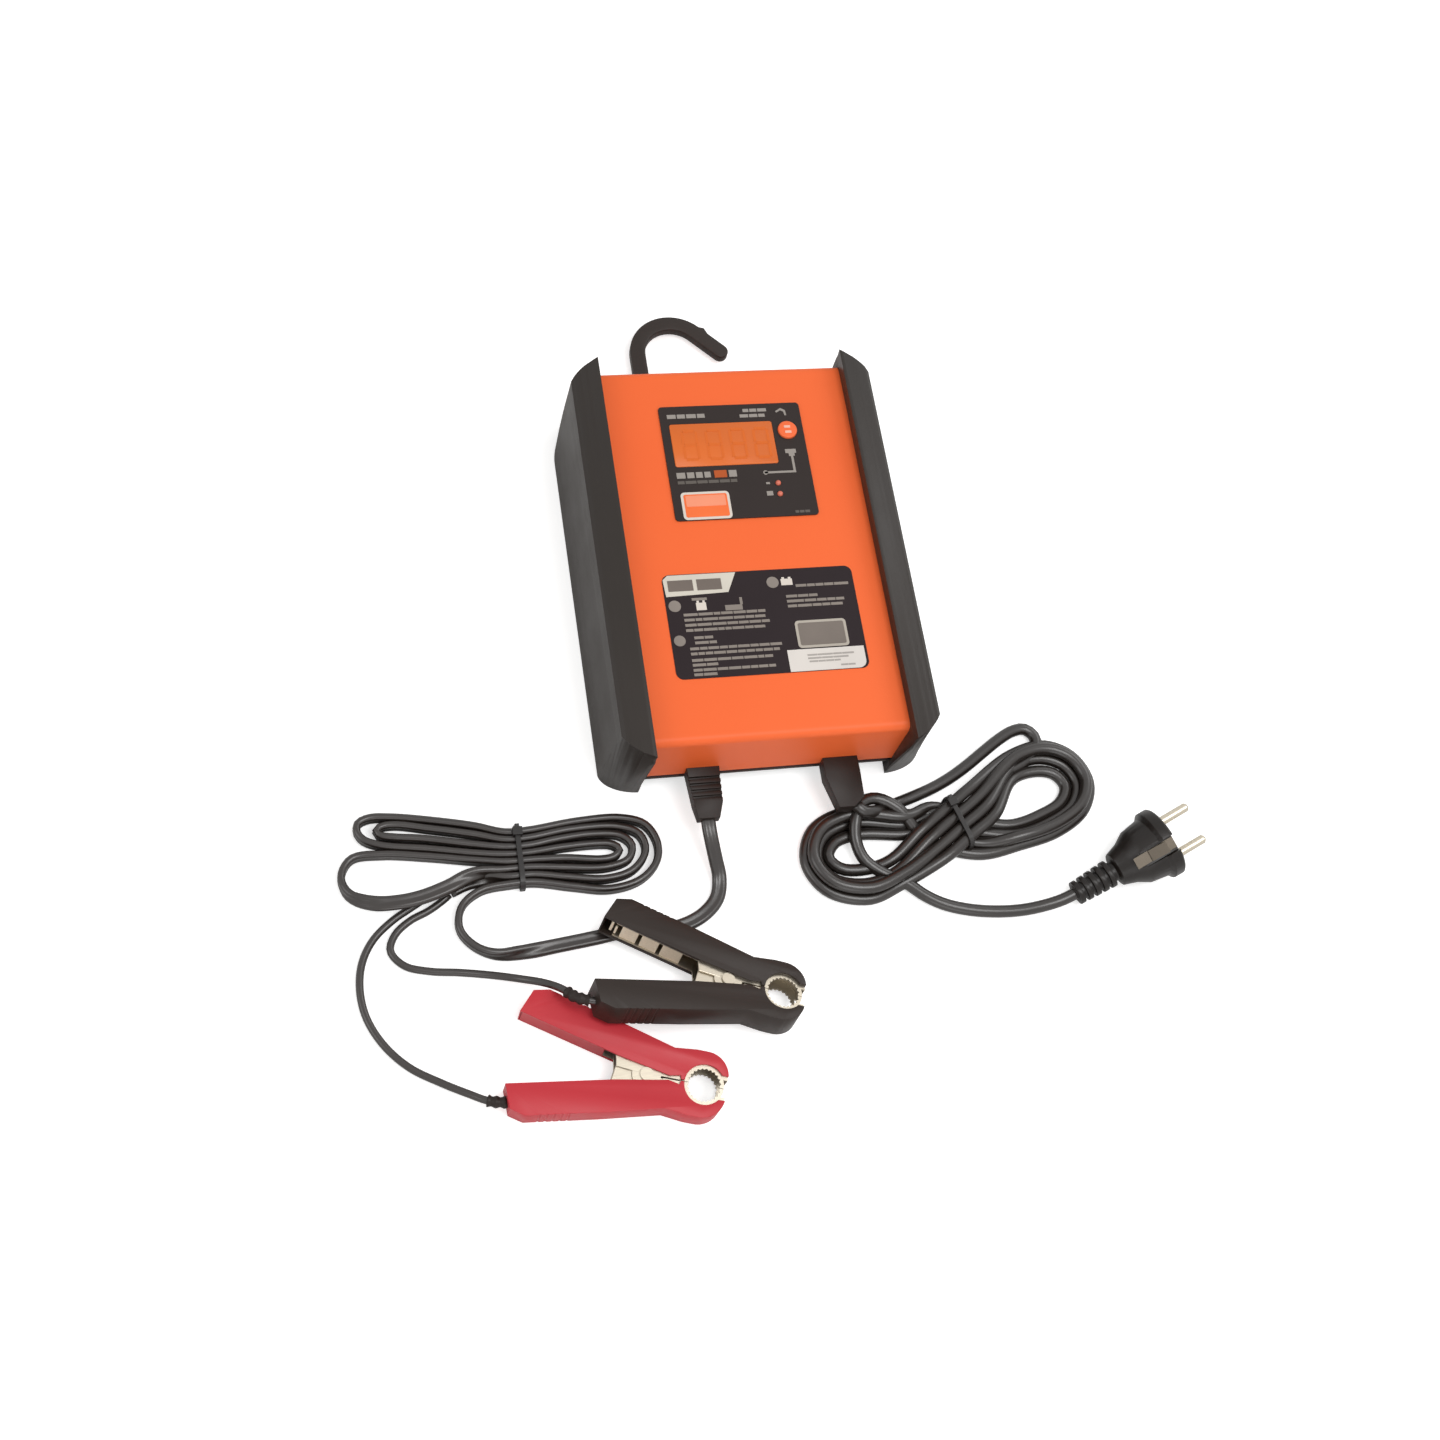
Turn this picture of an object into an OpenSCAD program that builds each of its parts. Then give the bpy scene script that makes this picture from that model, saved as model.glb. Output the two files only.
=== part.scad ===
// Battery maintainer lying on its back: a folded sheet shell between two moulded
// end caps, a hinged hanging hook behind it, a mains lead with its plug and a twin
// output lead with two spring clamps. Millimetres, floor at Z = 0, hook towards +Y.

/* [Shell] */
// Width of the folded sheet seen between the end caps
shell_w = 132; // [124:1:150]
// Length of the folded sheet from its top edge to its bottom edge
shell_l = 215; // [205:1:240]
// Depth of the folded sheet from its face to the back plate's outside
shell_depth = 44; // [42:1:60]
// Thickness of the sheet steel
sheet_t = 1.2; // [0.8:0.1:1.6]
// Outside radius of the folds
bend_r = 4; // [2.5:0.5:6]
// Width of the flange folded in at the back of the shell
return_w = 14; // [10:1:18]

/* [End caps] */
// Reach of a cap outside the shell at its back edge
cap_w = 19.8; // [17:0.2:30]
// Reach of a cap outside the shell at its front ridge
cap_ridge_w = 15.3; // [13:0.1:16]
// Height of the ridge above the shell's face
cap_ridge_h = 4.2; // [2:0.2:7]
// Height of the lip beside the shell above its face
cap_lip_h = 8; // [5:0.5:12]
// Depth of the recess behind the shell in which the hook folds
cap_foot = 12; // [11.5:0.5:20]
// Wall of a cap
cap_wall = 2.5; // [1.5:0.1:3]
// Reach of a cap past the shell's ends at the front
cap_over_front = 9; // [6:0.5:12]
// Reach of a cap past the shell's ends at the back
cap_over_back = 3; // [2:0.5:6]
// Radius of a cap's corners seen from the front
cap_corner_r = 34; // [24:1:40]
// Reach of a cap's toe under the shell's end
cap_toe = 6; // [3:0.5:10]
// Length of sheet held inside a cap
cap_grip = 4; // [2:0.5:4.5]
// Distance of a cap's screws from the middle
cap_screw_y = 78; // [60:1:85]

/* [Control panel] */
// Width of the panel
panel_w = 76.5; // [74:0.5:90]
// Height of the panel
panel_l = 68.4; // [66:0.2:75]
// Panel centre, right of the middle
panel_x = 1.4; // [-4:0.2:4]
// Panel centre, above the middle
panel_y = 50; // [48:0.5:56]
// Thickness of the panel film and its backing
panel_t = 0.8; // [0.5:0.1:1.5]
// Width of the display window
window_w = 55.7; // [40:0.1:58]
// Height of the display window
window_l = 26; // [18:0.5:30]
// Display centre, left of the panel centre
window_dx = 6.1; // [4:0.1:8]
// Display centre, above the panel centre
window_dy = 10.4; // [9:0.2:14]
// Radius of the mode button
button_r = 5.25; // [3.5:0.05:6]
// Button centre, right of the panel centre
button_dx = 29.5; // [28.5:0.1:31]
// Button centre, above the panel centre
button_dy = 17.2; // [10:0.2:22]
// Travel of the mode button
button_travel = 0.8; // [0.4:0.1:0.8]
// Radius of a status lamp
lamp_r = 1.5; // [1:0.1:2]
// Lamp centres, right of the panel centre
lamp_dx = 19.3; // [15:0.1:24]
// Upper lamp, below the panel centre
lamp_dy = 14.5; // [12:0.5:18]
// Distance between the lamps
lamp_pitch = 6.5; // [5:0.5:9]

/* [Guide label] */
// Width of the label
label_w = 100; // [80:1:120]
// Height of the label
label_l = 58.4; // [40:0.2:65]
// Label centre, right of the middle
label_x = 1; // [-4:0.5:4]
// Label centre, below the middle
label_drop = 44; // [40:0.5:55]
// Thickness of the label
label_t = 0.3; // [0.2:0.1:0.6]

/* [Hook] */
// Width of the hook's bar
hook_bar = 8.7; // [6:0.1:11]
// Thickness of the hook
hook_t = 5.5; // [4:0.1:5.6]
// Radius of the hook's bend at the middle of the bar
hook_r = 20; // [16:0.5:21]
// Stem of the hook, left of the middle
hook_left = 31.8; // [28:0.2:36]
// Height of the bend's centre above the shell's top edge
hook_rise = 42; // [30:1:44]
// Depth of the hook's pivot below the shell's top edge
hook_drop = 20; // [19:0.5:26]
// Length of the straight end past the bend
hook_end = 19; // [10:0.5:22]
// Angle of the bend
hook_sweep = 135; // [110:1:150]
// Radius of the pivot bush
bush_r = 5; // [3.5:0.1:6]
// Space between the back plate and the hook
hook_gap = 3; // [2.5:0.1:3.5]

/* [Boots and cords] */
// Distance of the output boot, left of the middle
dc_boot_left = 35.6; // [30:0.2:40]
// Distance of the mains boot, right of the middle
mains_boot_right = 36.4; // [30:0.2:40]
// Length of a boot outside the shell
boot_l = 26.5; // [20:0.5:30]
// Thickness of a boot at the shell
boot_t = 9; // [7:0.5:10]
// Width of the output boot at the shell
dc_boot_w = 17; // [14:0.5:20]
// Width of the mains boot at the shell
mains_boot_w = 18.5; // [15:0.5:21]
// Width of the flat output lead
dc_lead_w = 7.6; // [6:0.2:9]
// Thickness of the flat output lead, and of each lead it splits into
dc_lead_t = 3.8; // [3:0.1:4.2]
// Diameter of the mains lead
mains_d = 6.4; // [5:0.1:7.5]
// Height of the output lead's hank
dc_hank_h = 9; // [8:0.5:16]
// Height of the mains lead's bundle
mains_hank_h = 12; // [11:0.5:12.2]
// Thickness of a cable tie
tie_t = 1.2; // [0.8:0.1:1.6]
// Width of a cable tie
tie_w = 2.5; // [2:0.5:5]

/* [Clamps] */
// Width of a clamp's grips
clamp_w = 15.5; // [14.5:0.5:18]
// Wall of a grip
clamp_wall = 1.6; // [1:0.1:1.8]
// Thickness of the jaw steel
jaw_t = 1; // [0.7:0.1:1.1]
// Radius of the round gap between the jaws
jaw_gap_r = 7.6; // [6:0.1:8]
// Radius of a clamp's pin
clamp_pin_r = 2.4; // [1.8:0.1:2.6]
// Radius of the wire of a clamp's spring
spring_wire_r = 0.6; // [0.4:0.05:0.7]

/* [Plug] */
// Radius of the plug's front flange
plug_r = 19; // [17:0.5:20]
// Length of the plug's moulded body
plug_body_l = 32; // [28:1:38]
// Length of the plug's ribbed strain relief
plug_relief_l = 24; // [20:1:30]
// Radius of a contact pin
plug_pin_r = 2.4; // [2:0.1:2.5]
// Length of a contact pin outside the body
plug_pin_l = 19; // [15:0.5:19]
// Distance between the contact pins
plug_pin_pitch = 19; // [17:0.5:20]

/* [Boards] */
// Width of the main board
board_w = 112; // [100:1:116]
// Space between the shell's top edge and the main board
board_top_gap = 31.5; // [29:0.5:40]
// Space between the shell's bottom edge and the main board
board_low_gap = 15.5; // [15:0.5:24]
// Thickness of both boards
board_t = 1.6; // [1:0.1:2]
// Height of the main board above the back plate
board_rise = 6.8; // [5:0.2:8]
// Radius of the output capacitors
cap_can_r = 6.3; // [4:0.1:8]
// Radius of the input capacitor
bulk_can_r = 11; // [8:0.5:12.5]
// Number of the heat sink's fins
fin_count = 7; // [4:1:9]

/* [Hidden] */
$fn = 48;

// Small working values shared by the pieces
eps = 0.01;
fit = 0.15;
run = 0.05;

// Heights above the floor
back_z = cap_foot;
face_z = cap_foot + shell_depth;
lip_z = face_z + cap_lip_h;
ridge_z = face_z + cap_ridge_h;
inside_z = back_z + sheet_t;
roof_z = face_z - sheet_t;
half_w = shell_w / 2;
half_l = shell_l / 2;

// Boots
boot_z = inside_z + sheet_t + fit;
boot_end_y = -(half_l + boot_l);
boot_neck_t = 5.5;
boot_neck_z = boot_z + 1.2;
boot_collar_t = max(3, bend_r - sheet_t + 0.4);

// Hook
hook_pivot = [-hook_left, half_l - hook_drop];
hook_centre = [hook_r - hook_left, half_l + hook_rise];
hook_top_y = hook_centre[1] + hook_r + hook_bar / 2;
hook_z = back_z - hook_gap - hook_t;
back_screw_x = half_w - 14;
back_screw_y = half_l - return_w / 2;
cap_screw_l = 12;
washer_t = 0.9;
screw_head_t = 2;

// The frame's origin lies under the middle of the rigid box of the object
body_y = -(hook_top_y + boot_end_y) / 2;

// Control panel
window_x = panel_x - window_dx;
window_y = panel_y + window_dy;
button_x = panel_x + button_dx;
button_y = panel_y + button_dy;
lamp_x = panel_x + lamp_dx;
lamp_y = panel_y - lamp_dy;
panel_top = face_z + panel_t;
button_top = panel_top + 1.4;
button_flange_t = 1.2;
button_low = roof_z - 5.5;

// Display board under the panel
display_gap = 10.8;
display_z = roof_z - display_gap - board_t;
stud_r = 2.6;
display_edge = 4;
display_w = window_w + 1 + 2 * (window_dx + stud_r + 1.95 + display_edge);
display_l = 56;
display_hole = [display_w / 2 - display_edge, display_l / 2 - display_edge];

// Main board and what it carries
board_z = inside_z + board_rise;
board_top = board_z + board_t;
board_l = shell_l - board_top_gap - board_low_gap;
board_y = (board_low_gap - board_top_gap) / 2;
board_hole = [board_w / 2 - 5, board_l / 2 - 6];
board_low = board_y - board_l / 2;
board_high = board_y + board_l / 2;
m3_r = 1.5;
m3_head_r = 2.8;

// Clamp placing: pivot point and turn of each clamp
clamp_half = clamp_w / 2;
black_at = [-40, -239, 15.2];
black_turn = [-14, 4.7, -18];
red_at = [-84, -278, clamp_half + 0.2];
red_turn = [0, 0, -17.5];
jaw_half = clamp_half - clamp_wall - fit;
ear_r = 7;
jaw_centre = [28.1, 0];
jaw_ring = 2.05;

// Plug placing: rear end of its strain relief and turn of its axis
plug_at = [153, -207, 6.3];
plug_turn = [18, -14, 22];
plug_face = plug_relief_l + plug_body_l;
plug_root_r = plug_pin_r + 0.7;

// Routes of the cords where they aren't coiled, chosen by hand
dc_route = [[-35.6, -152, 16.8], [-35.6, -158, 16.2], [-34.6, -165, 13], [-33, -172, 8],
  [-31.6, -180, 3.6], [-34, -190, 2.1], [-42, -198, 2.1], [-54, -203, 2.1],
  [-68, -204, 2.1], [-82, -203, 2.1], [-98, -205, 2.1], [-116, -207, 2.1],
  [-134, -209, 2.1], [-148, -209, 2.1], [-158, -204, 2.1], [-164, -195, 2.1],
  [-162, -184, 2.1], [-152, -174, 2.1]];
black_route = [[-170, -176, 2.1], [-178, -182, 2.1], [-187, -187, 2.1], [-195, -194, 2.1],
  [-198, -202, 2.1], [-192, -210, 2.1], [-180, -214, 2.1], [-166, -216, 2.1],
  [-150, -219, 2.1], [-137, -223, 5], [-127, -228, 12], [-120, -234, 20], [-114, -240.6, 25.6],
  [-104, -243.8, 26]];
red_route = [[-176, -174, 2.1], [-186, -181, 2.1], [-196, -187, 2.1], [-206, -196, 2.1],
  [-212, -207, 2.1], [-214, -220, 2.1], [-212, -234, 2.1], [-205, -248, 2.1],
  [-194, -260, 2.1], [-180, -269, 2.6], [-168, -276, 4.6], [-159, -281, 7],
  [-151, -282.8, 7.9], [-143, -283.6, 7.9]];
mains_route = [[42, -151, 16], [46, -155, 15.4], [52, -154.6, 12], [60, -151.6, 7], [68, -148.4, 4],
  [78, -145.2, 3.5], [89, -141.4, 3.5], [100, -136.4, 3.5], [111, -130, 3.5], [121, -123.4, 3.5],
  [131, -117, 3.5], [140, -112.6, 3.5], [147, -112, 3.5], [151.6, -117, 3.5], [150, -125, 3.5]];
tail_route = [[64, -191, 3.5], [74, -199.6, 3.5], [83, -205, 3.5], [95, -209, 3.5],
  [109, -211.4, 3.5], [124, -212, 3.5], [138, -210.6, 4], [147, -208.8, 5.2],
  [158, -205, 7.6]];

// Square and circles that make a rectangle with round corners
module round_rect(size, r) {
  square([size[0] - 2 * r, size[1]], center = true);
  square([size[0], size[1] - 2 * r], center = true);
  for (x = [-1, 1], y = [-1, 1])
    translate([x * (size[0] / 2 - r), y * (size[1] / 2 - r)]) circle(r = r);
}

// Turns an outline drawn in Y and Z into a bar along X
module bar_x(x0, x1) {
  translate([x0, 0, 0]) rotate([90, 0, 90]) linear_extrude(x1 - x0) children();
}

// Turns an outline drawn in X and Z into a bar along Y
module bar_y(y0, y1) {
  translate([0, y1, 0]) rotate([90, 0, 0]) linear_extrude(y1 - y0) children();
}

// Puts a piece that is drawn about the middle of the face into the frame
module on_body() {
  translate([0, body_y, 0]) children();
}

module slab(x, y, z0, z1, size, r) {
  translate([x, y, z0]) linear_extrude(z1 - z0) round_rect(size, r);
}

module post(x, y, z0, z1, r) {
  translate([x, y, z0]) cylinder(h = z1 - z0, r = r);
}

// Outline of the folded sheet seen from the side
module shell_outline(inset) {
  translate([0, (inside_z + face_z) / 2])
    round_rect([shell_l - 2 * inset, face_z - inside_z - 2 * inset], bend_r - inset);
}

// Folded sheet: face, two long sides and the flanges that carry the back plate
module front_shell() color("#f4703a") on_body() difference() {
  bar_x(-half_w - cap_grip, half_w + cap_grip) difference() {
    shell_outline(0);
    shell_outline(sheet_t);
    translate([0, inside_z]) square([shell_l - 2 * return_w, 4 * sheet_t], center = true);
  }
  slab(window_x, window_y, roof_z - 1, face_z + 1, [window_w, window_l], 1.5);
  post(button_x, button_y, roof_z - 1, face_z + 1, button_r + 0.1);
  for (i = [0, 1]) post(lamp_x, lamp_y - i * lamp_pitch, roof_z - 1, face_z + 1, lamp_r + fit);
  for (b = [[-dc_boot_left, dc_boot_w], [mains_boot_right, mains_boot_w]])
    translate([b[0] - b[1] / 2 + 2 - fit, -half_l - 1, boot_neck_z - fit])
      cube([b[1] - 4 + 2 * fit, 4, boot_neck_t + 2 * fit]);
  for (x = [-1, 1], y = [-1, 1])
    post(x * back_screw_x, y * back_screw_y, back_z, inside_z + 3, m3_r + run);
}

// Flat plate that closes the back, with tabs that run into the caps
module back_plate() color("#3b3d3f") on_body() difference() {
  union() {
    slab(0, 0, back_z, inside_z, [shell_w - 2 * fit, shell_l - 2 * fit], 2);
    for (y = [-1, 1])
      slab(0, y * cap_screw_y, back_z, inside_z, [shell_w + 2 * cap_ridge_w - 4, 16], 2);
  }
  for (x = [-1, 1], y = [-1, 1]) {
    post(x * back_screw_x, y * back_screw_y, 0, inside_z + 1, m3_r + fit);
    post(x * cap_screw_x, y * cap_screw_y, 0, inside_z + 1, m3_r + fit);
    post(x * board_hole[0], board_y + y * board_hole[1], 0, inside_z + 1, m3_r + fit);
  }
  post(hook_pivot[0], hook_pivot[1], 0, inside_z + 1, m5_r + fit);
}

// Pan head screw with its head below, as it is driven from the back
module screw_up(x, y, z, length) {
  post(x, y, z - screw_head_t, z, m3_head_r);
  post(x, y, z - eps, z + length, m3_r);
}

module back_screws() color("#8d9093") on_body()
  for (x = [-1, 1], y = [-1, 1])
    screw_up(x * back_screw_x, y * back_screw_y, back_z, 6);

cap_screw_x = half_w + 9;
m5_r = 2.5;

// Outer form of the right cap: its section, its side view and its front view meet
module cap_form(t) {
  side = half_w + cap_w - t;
  ridge = half_w + cap_ridge_w - t;
  ly0 = half_l + cap_over_back - t;
  ly1 = half_l + cap_over_front - t;
  x0 = half_w - cap_toe;
  cx = half_w + cap_w - cap_corner_r;
  cy = half_l + cap_over_front - cap_corner_r + 3.4;
  intersection() {
    bar_y(-150, 150) polygon([[x0, 0], [x0, back_z], [half_w, back_z], [half_w, lip_z - t],
      [half_w + 1.6, lip_z - t], [ridge - 2, ridge_z - t + 0.9], [ridge, ridge_z - t - 0.6],
      [side, 0]]);
    bar_x(half_w - 20, half_w + 40) polygon([[-ly0, 0], [-ly1, face_z], [-ly1 + 0.6, face_z + 3],
      [-ly1 + 4, lip_z], [ly1 - 4, lip_z], [ly1 - 0.6, face_z + 3], [ly1, face_z], [ly0, 0]]);
    linear_extrude(lip_z + 1) {
      translate([x0 - 1, -cy]) square([side - x0 + 1, 2 * cy]);
      for (y = [-1, 1]) intersection() {
        translate([cx, y * cy]) circle(r = cap_corner_r - t, $fn = 96);
        translate([x0 - 1, y > 0 ? cy - 1 : -cy - 60]) square([60, 61]);
      }
    }
  }
}

// Hollow moulded cap, open at its back, with the slot that holds the shell
module cap_body() difference() {
  union() {
    difference() {
      cap_form(0);
      translate([0, 0, -eps]) intersection() {
        cap_form(cap_wall);
        translate([half_w + cap_wall, -half_l - 20, 0]) cube([60, shell_l + 40, lip_z - cap_wall]);
      }
      translate([half_w - cap_toe - 1, -half_l - fit, -1]) cube([cap_toe + 1, shell_l + 2 * fit, lip_z + 2]);
      bar_x(half_w - cap_toe - 1, half_w + cap_grip + 1) shell_slot();
    }
    intersection() {
      cap_form(eps);
      for (y = [-1, 1]) post(cap_screw_x, y * cap_screw_y, inside_z, lip_z, 4.2);
    }
    intersection() {
      cap_form(eps);
      for (y = [-1, 0, 1]) translate([half_w + cap_grip + fit, y * (cap_screw_y - 30) - 1, inside_z + 10])
        cube([30, 2, lip_z]);
    }
  }
  for (y = [-1, 1]) post(cap_screw_x, y * cap_screw_y, 0, back_z + cap_screw_l + 5, m3_r + run);
}

// Room for the end of the shell and the back plate in a cap
module shell_slot() {
  translate([0, (inside_z + face_z) / 2])
    round_rect([shell_l + 2 * fit, face_z - inside_z + 2 * fit], bend_r + fit);
  translate([-half_l - fit, back_z - fit]) square([shell_l + 2 * fit, bend_r + sheet_t]);
}

module right_end_cap() color("#4a4643") on_body() cap_body();
module left_end_cap() color("#4a4643") on_body() mirror([1, 0, 0]) cap_body();

module cap_screws() color("#8d9093") on_body()
  for (x = [-1, 1], y = [-1, 1])
    screw_up(x * cap_screw_x, y * cap_screw_y, back_z, cap_screw_l);

// Dark panel film on the face with its openings
module control_panel() color("#2b2628") on_body() difference() {
  slab(panel_x, panel_y, face_z, panel_top, [panel_w, panel_l], 2);
  slab(window_x, window_y, face_z - 1, panel_top + 1, [window_w, window_l], 1.5);
  post(button_x, button_y, face_z - 1, panel_top + 1, button_r + 0.1);
  for (i = [0, 1]) post(lamp_x, lamp_y - i * lamp_pitch, face_z - 1, panel_top + 1, lamp_r + fit);
}

// Amber window that fills the opening, with a rim behind the sheet
module display_window() color("#e8842c") on_body() {
  slab(window_x, window_y, roof_z - eps, panel_top + 0.2, [window_w - 2 * fit, window_l - 2 * fit], 1.3);
  slab(window_x, window_y, roof_z - 1.2, roof_z, [window_w + 2, window_l + 4], 1.5);
}

// Display glass in its frame, standing on the display board
module lcd_module() color("#2e3a33") on_body() difference() {
  slab(window_x, window_y, display_z + board_t, roof_z - 1.4, [window_w + 1, window_l + 6], 1);
  slab(window_x, window_y, roof_z - 2.4, roof_z, [window_w - 4, window_l - 4], 0.5);
}

// Round key with a flange that stops behind the sheet
module mode_button() color("#f0764a") on_body() difference() {
  union() {
    post(button_x, button_y, roof_z - 1 - button_flange_t, button_top, button_r);
    post(button_x, button_y, roof_z - fit - button_flange_t, roof_z - fit, button_r + 1);
    post(button_x, button_y, button_low, roof_z - 1, 2.2);
  }
  translate([button_x, button_y, button_top + 29.6]) sphere(r = 30, $fn = 96);
}

module tact_switch() color("#30302e") on_body() {
  slab(button_x, button_y, display_z + board_t, button_low - button_travel - 1, [6, 6], 0.5);
  post(button_x, button_y, display_z + board_t, button_low - button_travel - 0.1, 1.7);
}

module status_lamps() color("#ef6a3c") on_body()
  for (i = [0, 1]) translate([lamp_x, lamp_y - i * lamp_pitch, 0]) {
    post(0, 0, display_z + board_t, panel_top, lamp_r);
    post(0, 0, display_z + board_t, display_z + board_t + 1.2, lamp_r + 0.4);
    translate([0, 0, panel_top]) intersection() {
      sphere(r = lamp_r);
      translate([0, 0, 3]) cube(6, center = true);
    }
  }

module display_board() color("#2f6b45") on_body() difference() {
  slab(panel_x, panel_y, display_z, display_z + board_t, [display_w, display_l], 1.5);
  for (x = [-1, 1], y = [-1, 1])
    post(panel_x + x * display_hole[0], panel_y + y * display_hole[1], display_z - 1, roof_z, m3_r + fit);
}

// Studs on the back of the face that carry the display board
module display_standoffs() color("#b9bcbf") on_body()
  for (x = [-1, 1], y = [-1, 1]) translate([panel_x + x * display_hole[0], panel_y + y * display_hole[1], 0]) {
    post(0, 0, display_z + board_t, roof_z, stud_r);
    post(0, 0, display_z - 2, display_z + board_t + eps, m3_r);
    post(0, 0, display_z - 2, display_z, m3_head_r);
  }

module guide_label() color("#2a2230") on_body()
  slab(label_x, -label_drop, face_z, face_z + label_t, [label_w, label_l], 4);

// Points of an arc of radius r about c, from angle a0 to angle a1
function arc(c, r, a0, a1, n) = [for (i = [0 : n]) let (a = a0 + (a1 - a0) * i / n)
  c + r * [cos(a), sin(a)]];

// Hanging hook: eye, stem, bend, straight end and round tip with a small barb
module hook() color("#38302c") on_body() translate([0, 0, hook_z]) linear_extrude(hook_t) {
  b = hook_bar / 2;
  end_a = 180 - hook_sweep;
  along_end = hook_end * [sin(end_a), -cos(end_a)];
  out = [cos(end_a), sin(end_a)];
  difference() {
    union() {
      polygon(concat(
        [hook_pivot + [b, 0]], arc(hook_centre, hook_r - b, 180, end_a, 20),
        [hook_centre + (hook_r - b) * out + along_end, hook_centre + (hook_r + b) * out + along_end,
          hook_centre + (hook_r + b) * out + along_end * 0.35,
          hook_centre + (hook_r + b + 1.6) * out + along_end * 0.15],
        arc(hook_centre, hook_r + b, end_a, 180, 24), [hook_pivot - [b, 0]]));
      translate(hook_pivot) circle(r = bush_r + 4);
      translate(hook_centre + hook_r * out + along_end) circle(r = b);
    }
    translate(hook_pivot) circle(r = bush_r + run);
  }
}

// Bush that the hook turns on, with a collar against the back plate
module hook_bush() color("#a9acaf") on_body() translate([hook_pivot[0], hook_pivot[1], 0]) difference() {
  union() {
    post(0, 0, hook_z - 0.1, back_z, bush_r);
    post(0, 0, back_z - hook_gap + 0.1, back_z, bush_r + 3);
  }
  post(0, 0, 0, back_z + 1, m5_r + run);
}

module hook_washer() color("#a9acaf") on_body() translate([hook_pivot[0], hook_pivot[1], 0]) difference() {
  post(0, 0, hook_z - 0.1 - washer_t, hook_z - 0.1, bush_r + 3);
  post(0, 0, 0, back_z, m5_r + fit);
}

module hook_screw() color("#8d9093") on_body() translate([hook_pivot[0], hook_pivot[1], 0]) {
  post(0, 0, hook_z - 0.1 - washer_t - screw_head_t, hook_z - 0.1 - washer_t, 4.5);
  post(0, 0, hook_z - 0.1 - washer_t - eps, inside_z + 5.4, m5_r);
}

module hook_nut() color("#8d9093") on_body() translate([hook_pivot[0], hook_pivot[1], inside_z]) difference() {
  cylinder(h = 4, r = 4.6, $fn = 6);
  translate([0, 0, -1]) cylinder(h = 6, r = m5_r + run);
}

module main_board() color("#2f6b45") on_body() difference() {
  slab(0, board_y, board_z, board_top, [board_w, board_l], 2);
  for (x = [-1, 1], y = [-1, 1])
    post(x * board_hole[0], board_y + y * board_hole[1], board_z - 1, board_top + 1, m3_r + fit);
}

module board_standoffs() color("#b9bcbf") on_body()
  for (x = [-1, 1], y = [-1, 1]) translate([x * board_hole[0], board_y + y * board_hole[1], 0]) difference() {
    post(0, 0, inside_z, board_z, 3);
    post(0, 0, inside_z - 1, board_z + 1, m3_r + run);
  }

module board_screws() color("#8d9093") on_body()
  for (x = [-1, 1], y = [-1, 1]) translate([x * board_hole[0], board_y + y * board_hole[1], 0]) {
    post(0, 0, board_top, board_top + screw_head_t, m3_head_r);
    post(0, 0, inside_z + 1, board_top + eps, m3_r);
  }

core_x = 22;
core_y = board_y - 26;
core_size = [42, 16, 28];
winding_l = 34;
yoke_t = 5;
leg_w = 12;
core_gap = (core_size[0] - leg_w) / 2 - yoke_t;

// Ferrite core: a closed frame with a middle leg
module transformer_core() color("#3f4245") on_body() translate([core_x, core_y, board_top]) difference() {
  translate([-core_size[0] / 2, -core_size[1] / 2, 0]) cube(core_size);
  for (x = [-1, 1]) translate([x * (leg_w + core_gap) / 2 - core_gap / 2, -core_size[1] / 2 - 1, yoke_t])
    cube([core_gap, core_size[1] + 2, core_size[2] - 2 * yoke_t]);
}

// Winding on its bobbin round the middle leg
module transformer_winding() color("#d8a637") on_body() translate([core_x, core_y, board_top + yoke_t]) difference() {
  linear_extrude(core_size[2] - 2 * yoke_t - fit) round_rect([leg_w + 13, winding_l], 6);
  translate([-leg_w / 2 - fit, -core_size[1] / 2 - fit, -1])
    cube([leg_w + 2 * fit, core_size[1] + 2 * fit, core_size[2]]);
}

sink_x = -36;
sink_y = board_y - 22;
sink_l = 74;
sink_w = 32;
sink_h = 24;
sink_base = 4;
fin_t = 2;

// Extruded aluminium comb
module heat_sink() color("#b4b8bb") on_body() bar_y(sink_y - sink_l / 2, sink_y + sink_l / 2) {
  translate([sink_x - sink_w / 2, board_top]) square([sink_w, sink_base]);
  for (i = [0 : fin_count - 1])
    translate([sink_x - sink_w / 2 + i * (sink_w - fin_t) / (fin_count - 1), board_top])
      square([fin_t, sink_h]);
}

// Two power packages screwed to the side of the heat sink
module power_transistors() color("#2a2a2c") on_body()
  for (i = [0, 1]) translate([sink_x + sink_w / 2, sink_y - 24 + i * 28, board_top]) {
    translate([0, 0, 4]) cube([4.4, 10, 15]);
    for (p = [-1, 0, 1]) translate([2, 5 + p * 2.5 - 0.4, 0]) cube([0.6, 0.8, 5]);
  }

module bulk_capacitor() color("#26323f") on_body() translate([34, board_low + 18, board_top]) {
  cylinder(h = 26, r = bulk_can_r);
  translate([0, 0, 26]) cylinder(h = 0.8, r = bulk_can_r - 1.2);
}

module output_capacitors() color("#26323f") on_body()
  for (x = [0, 1]) translate([-38 + x * 18, board_low + 12, board_top]) {
    cylinder(h = 20, r = cap_can_r);
    translate([0, 0, 20]) cylinder(h = 0.6, r = cap_can_r - 1);
  }

// Wound ring choke
module choke() color("#b5602f") on_body() translate([38, board_y + 14, board_top + 5.5])
  rotate_extrude() translate([9.5, 0]) round_rect([8, 11], 2.5);

fuse_at = [-40, board_y + 38];

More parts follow.
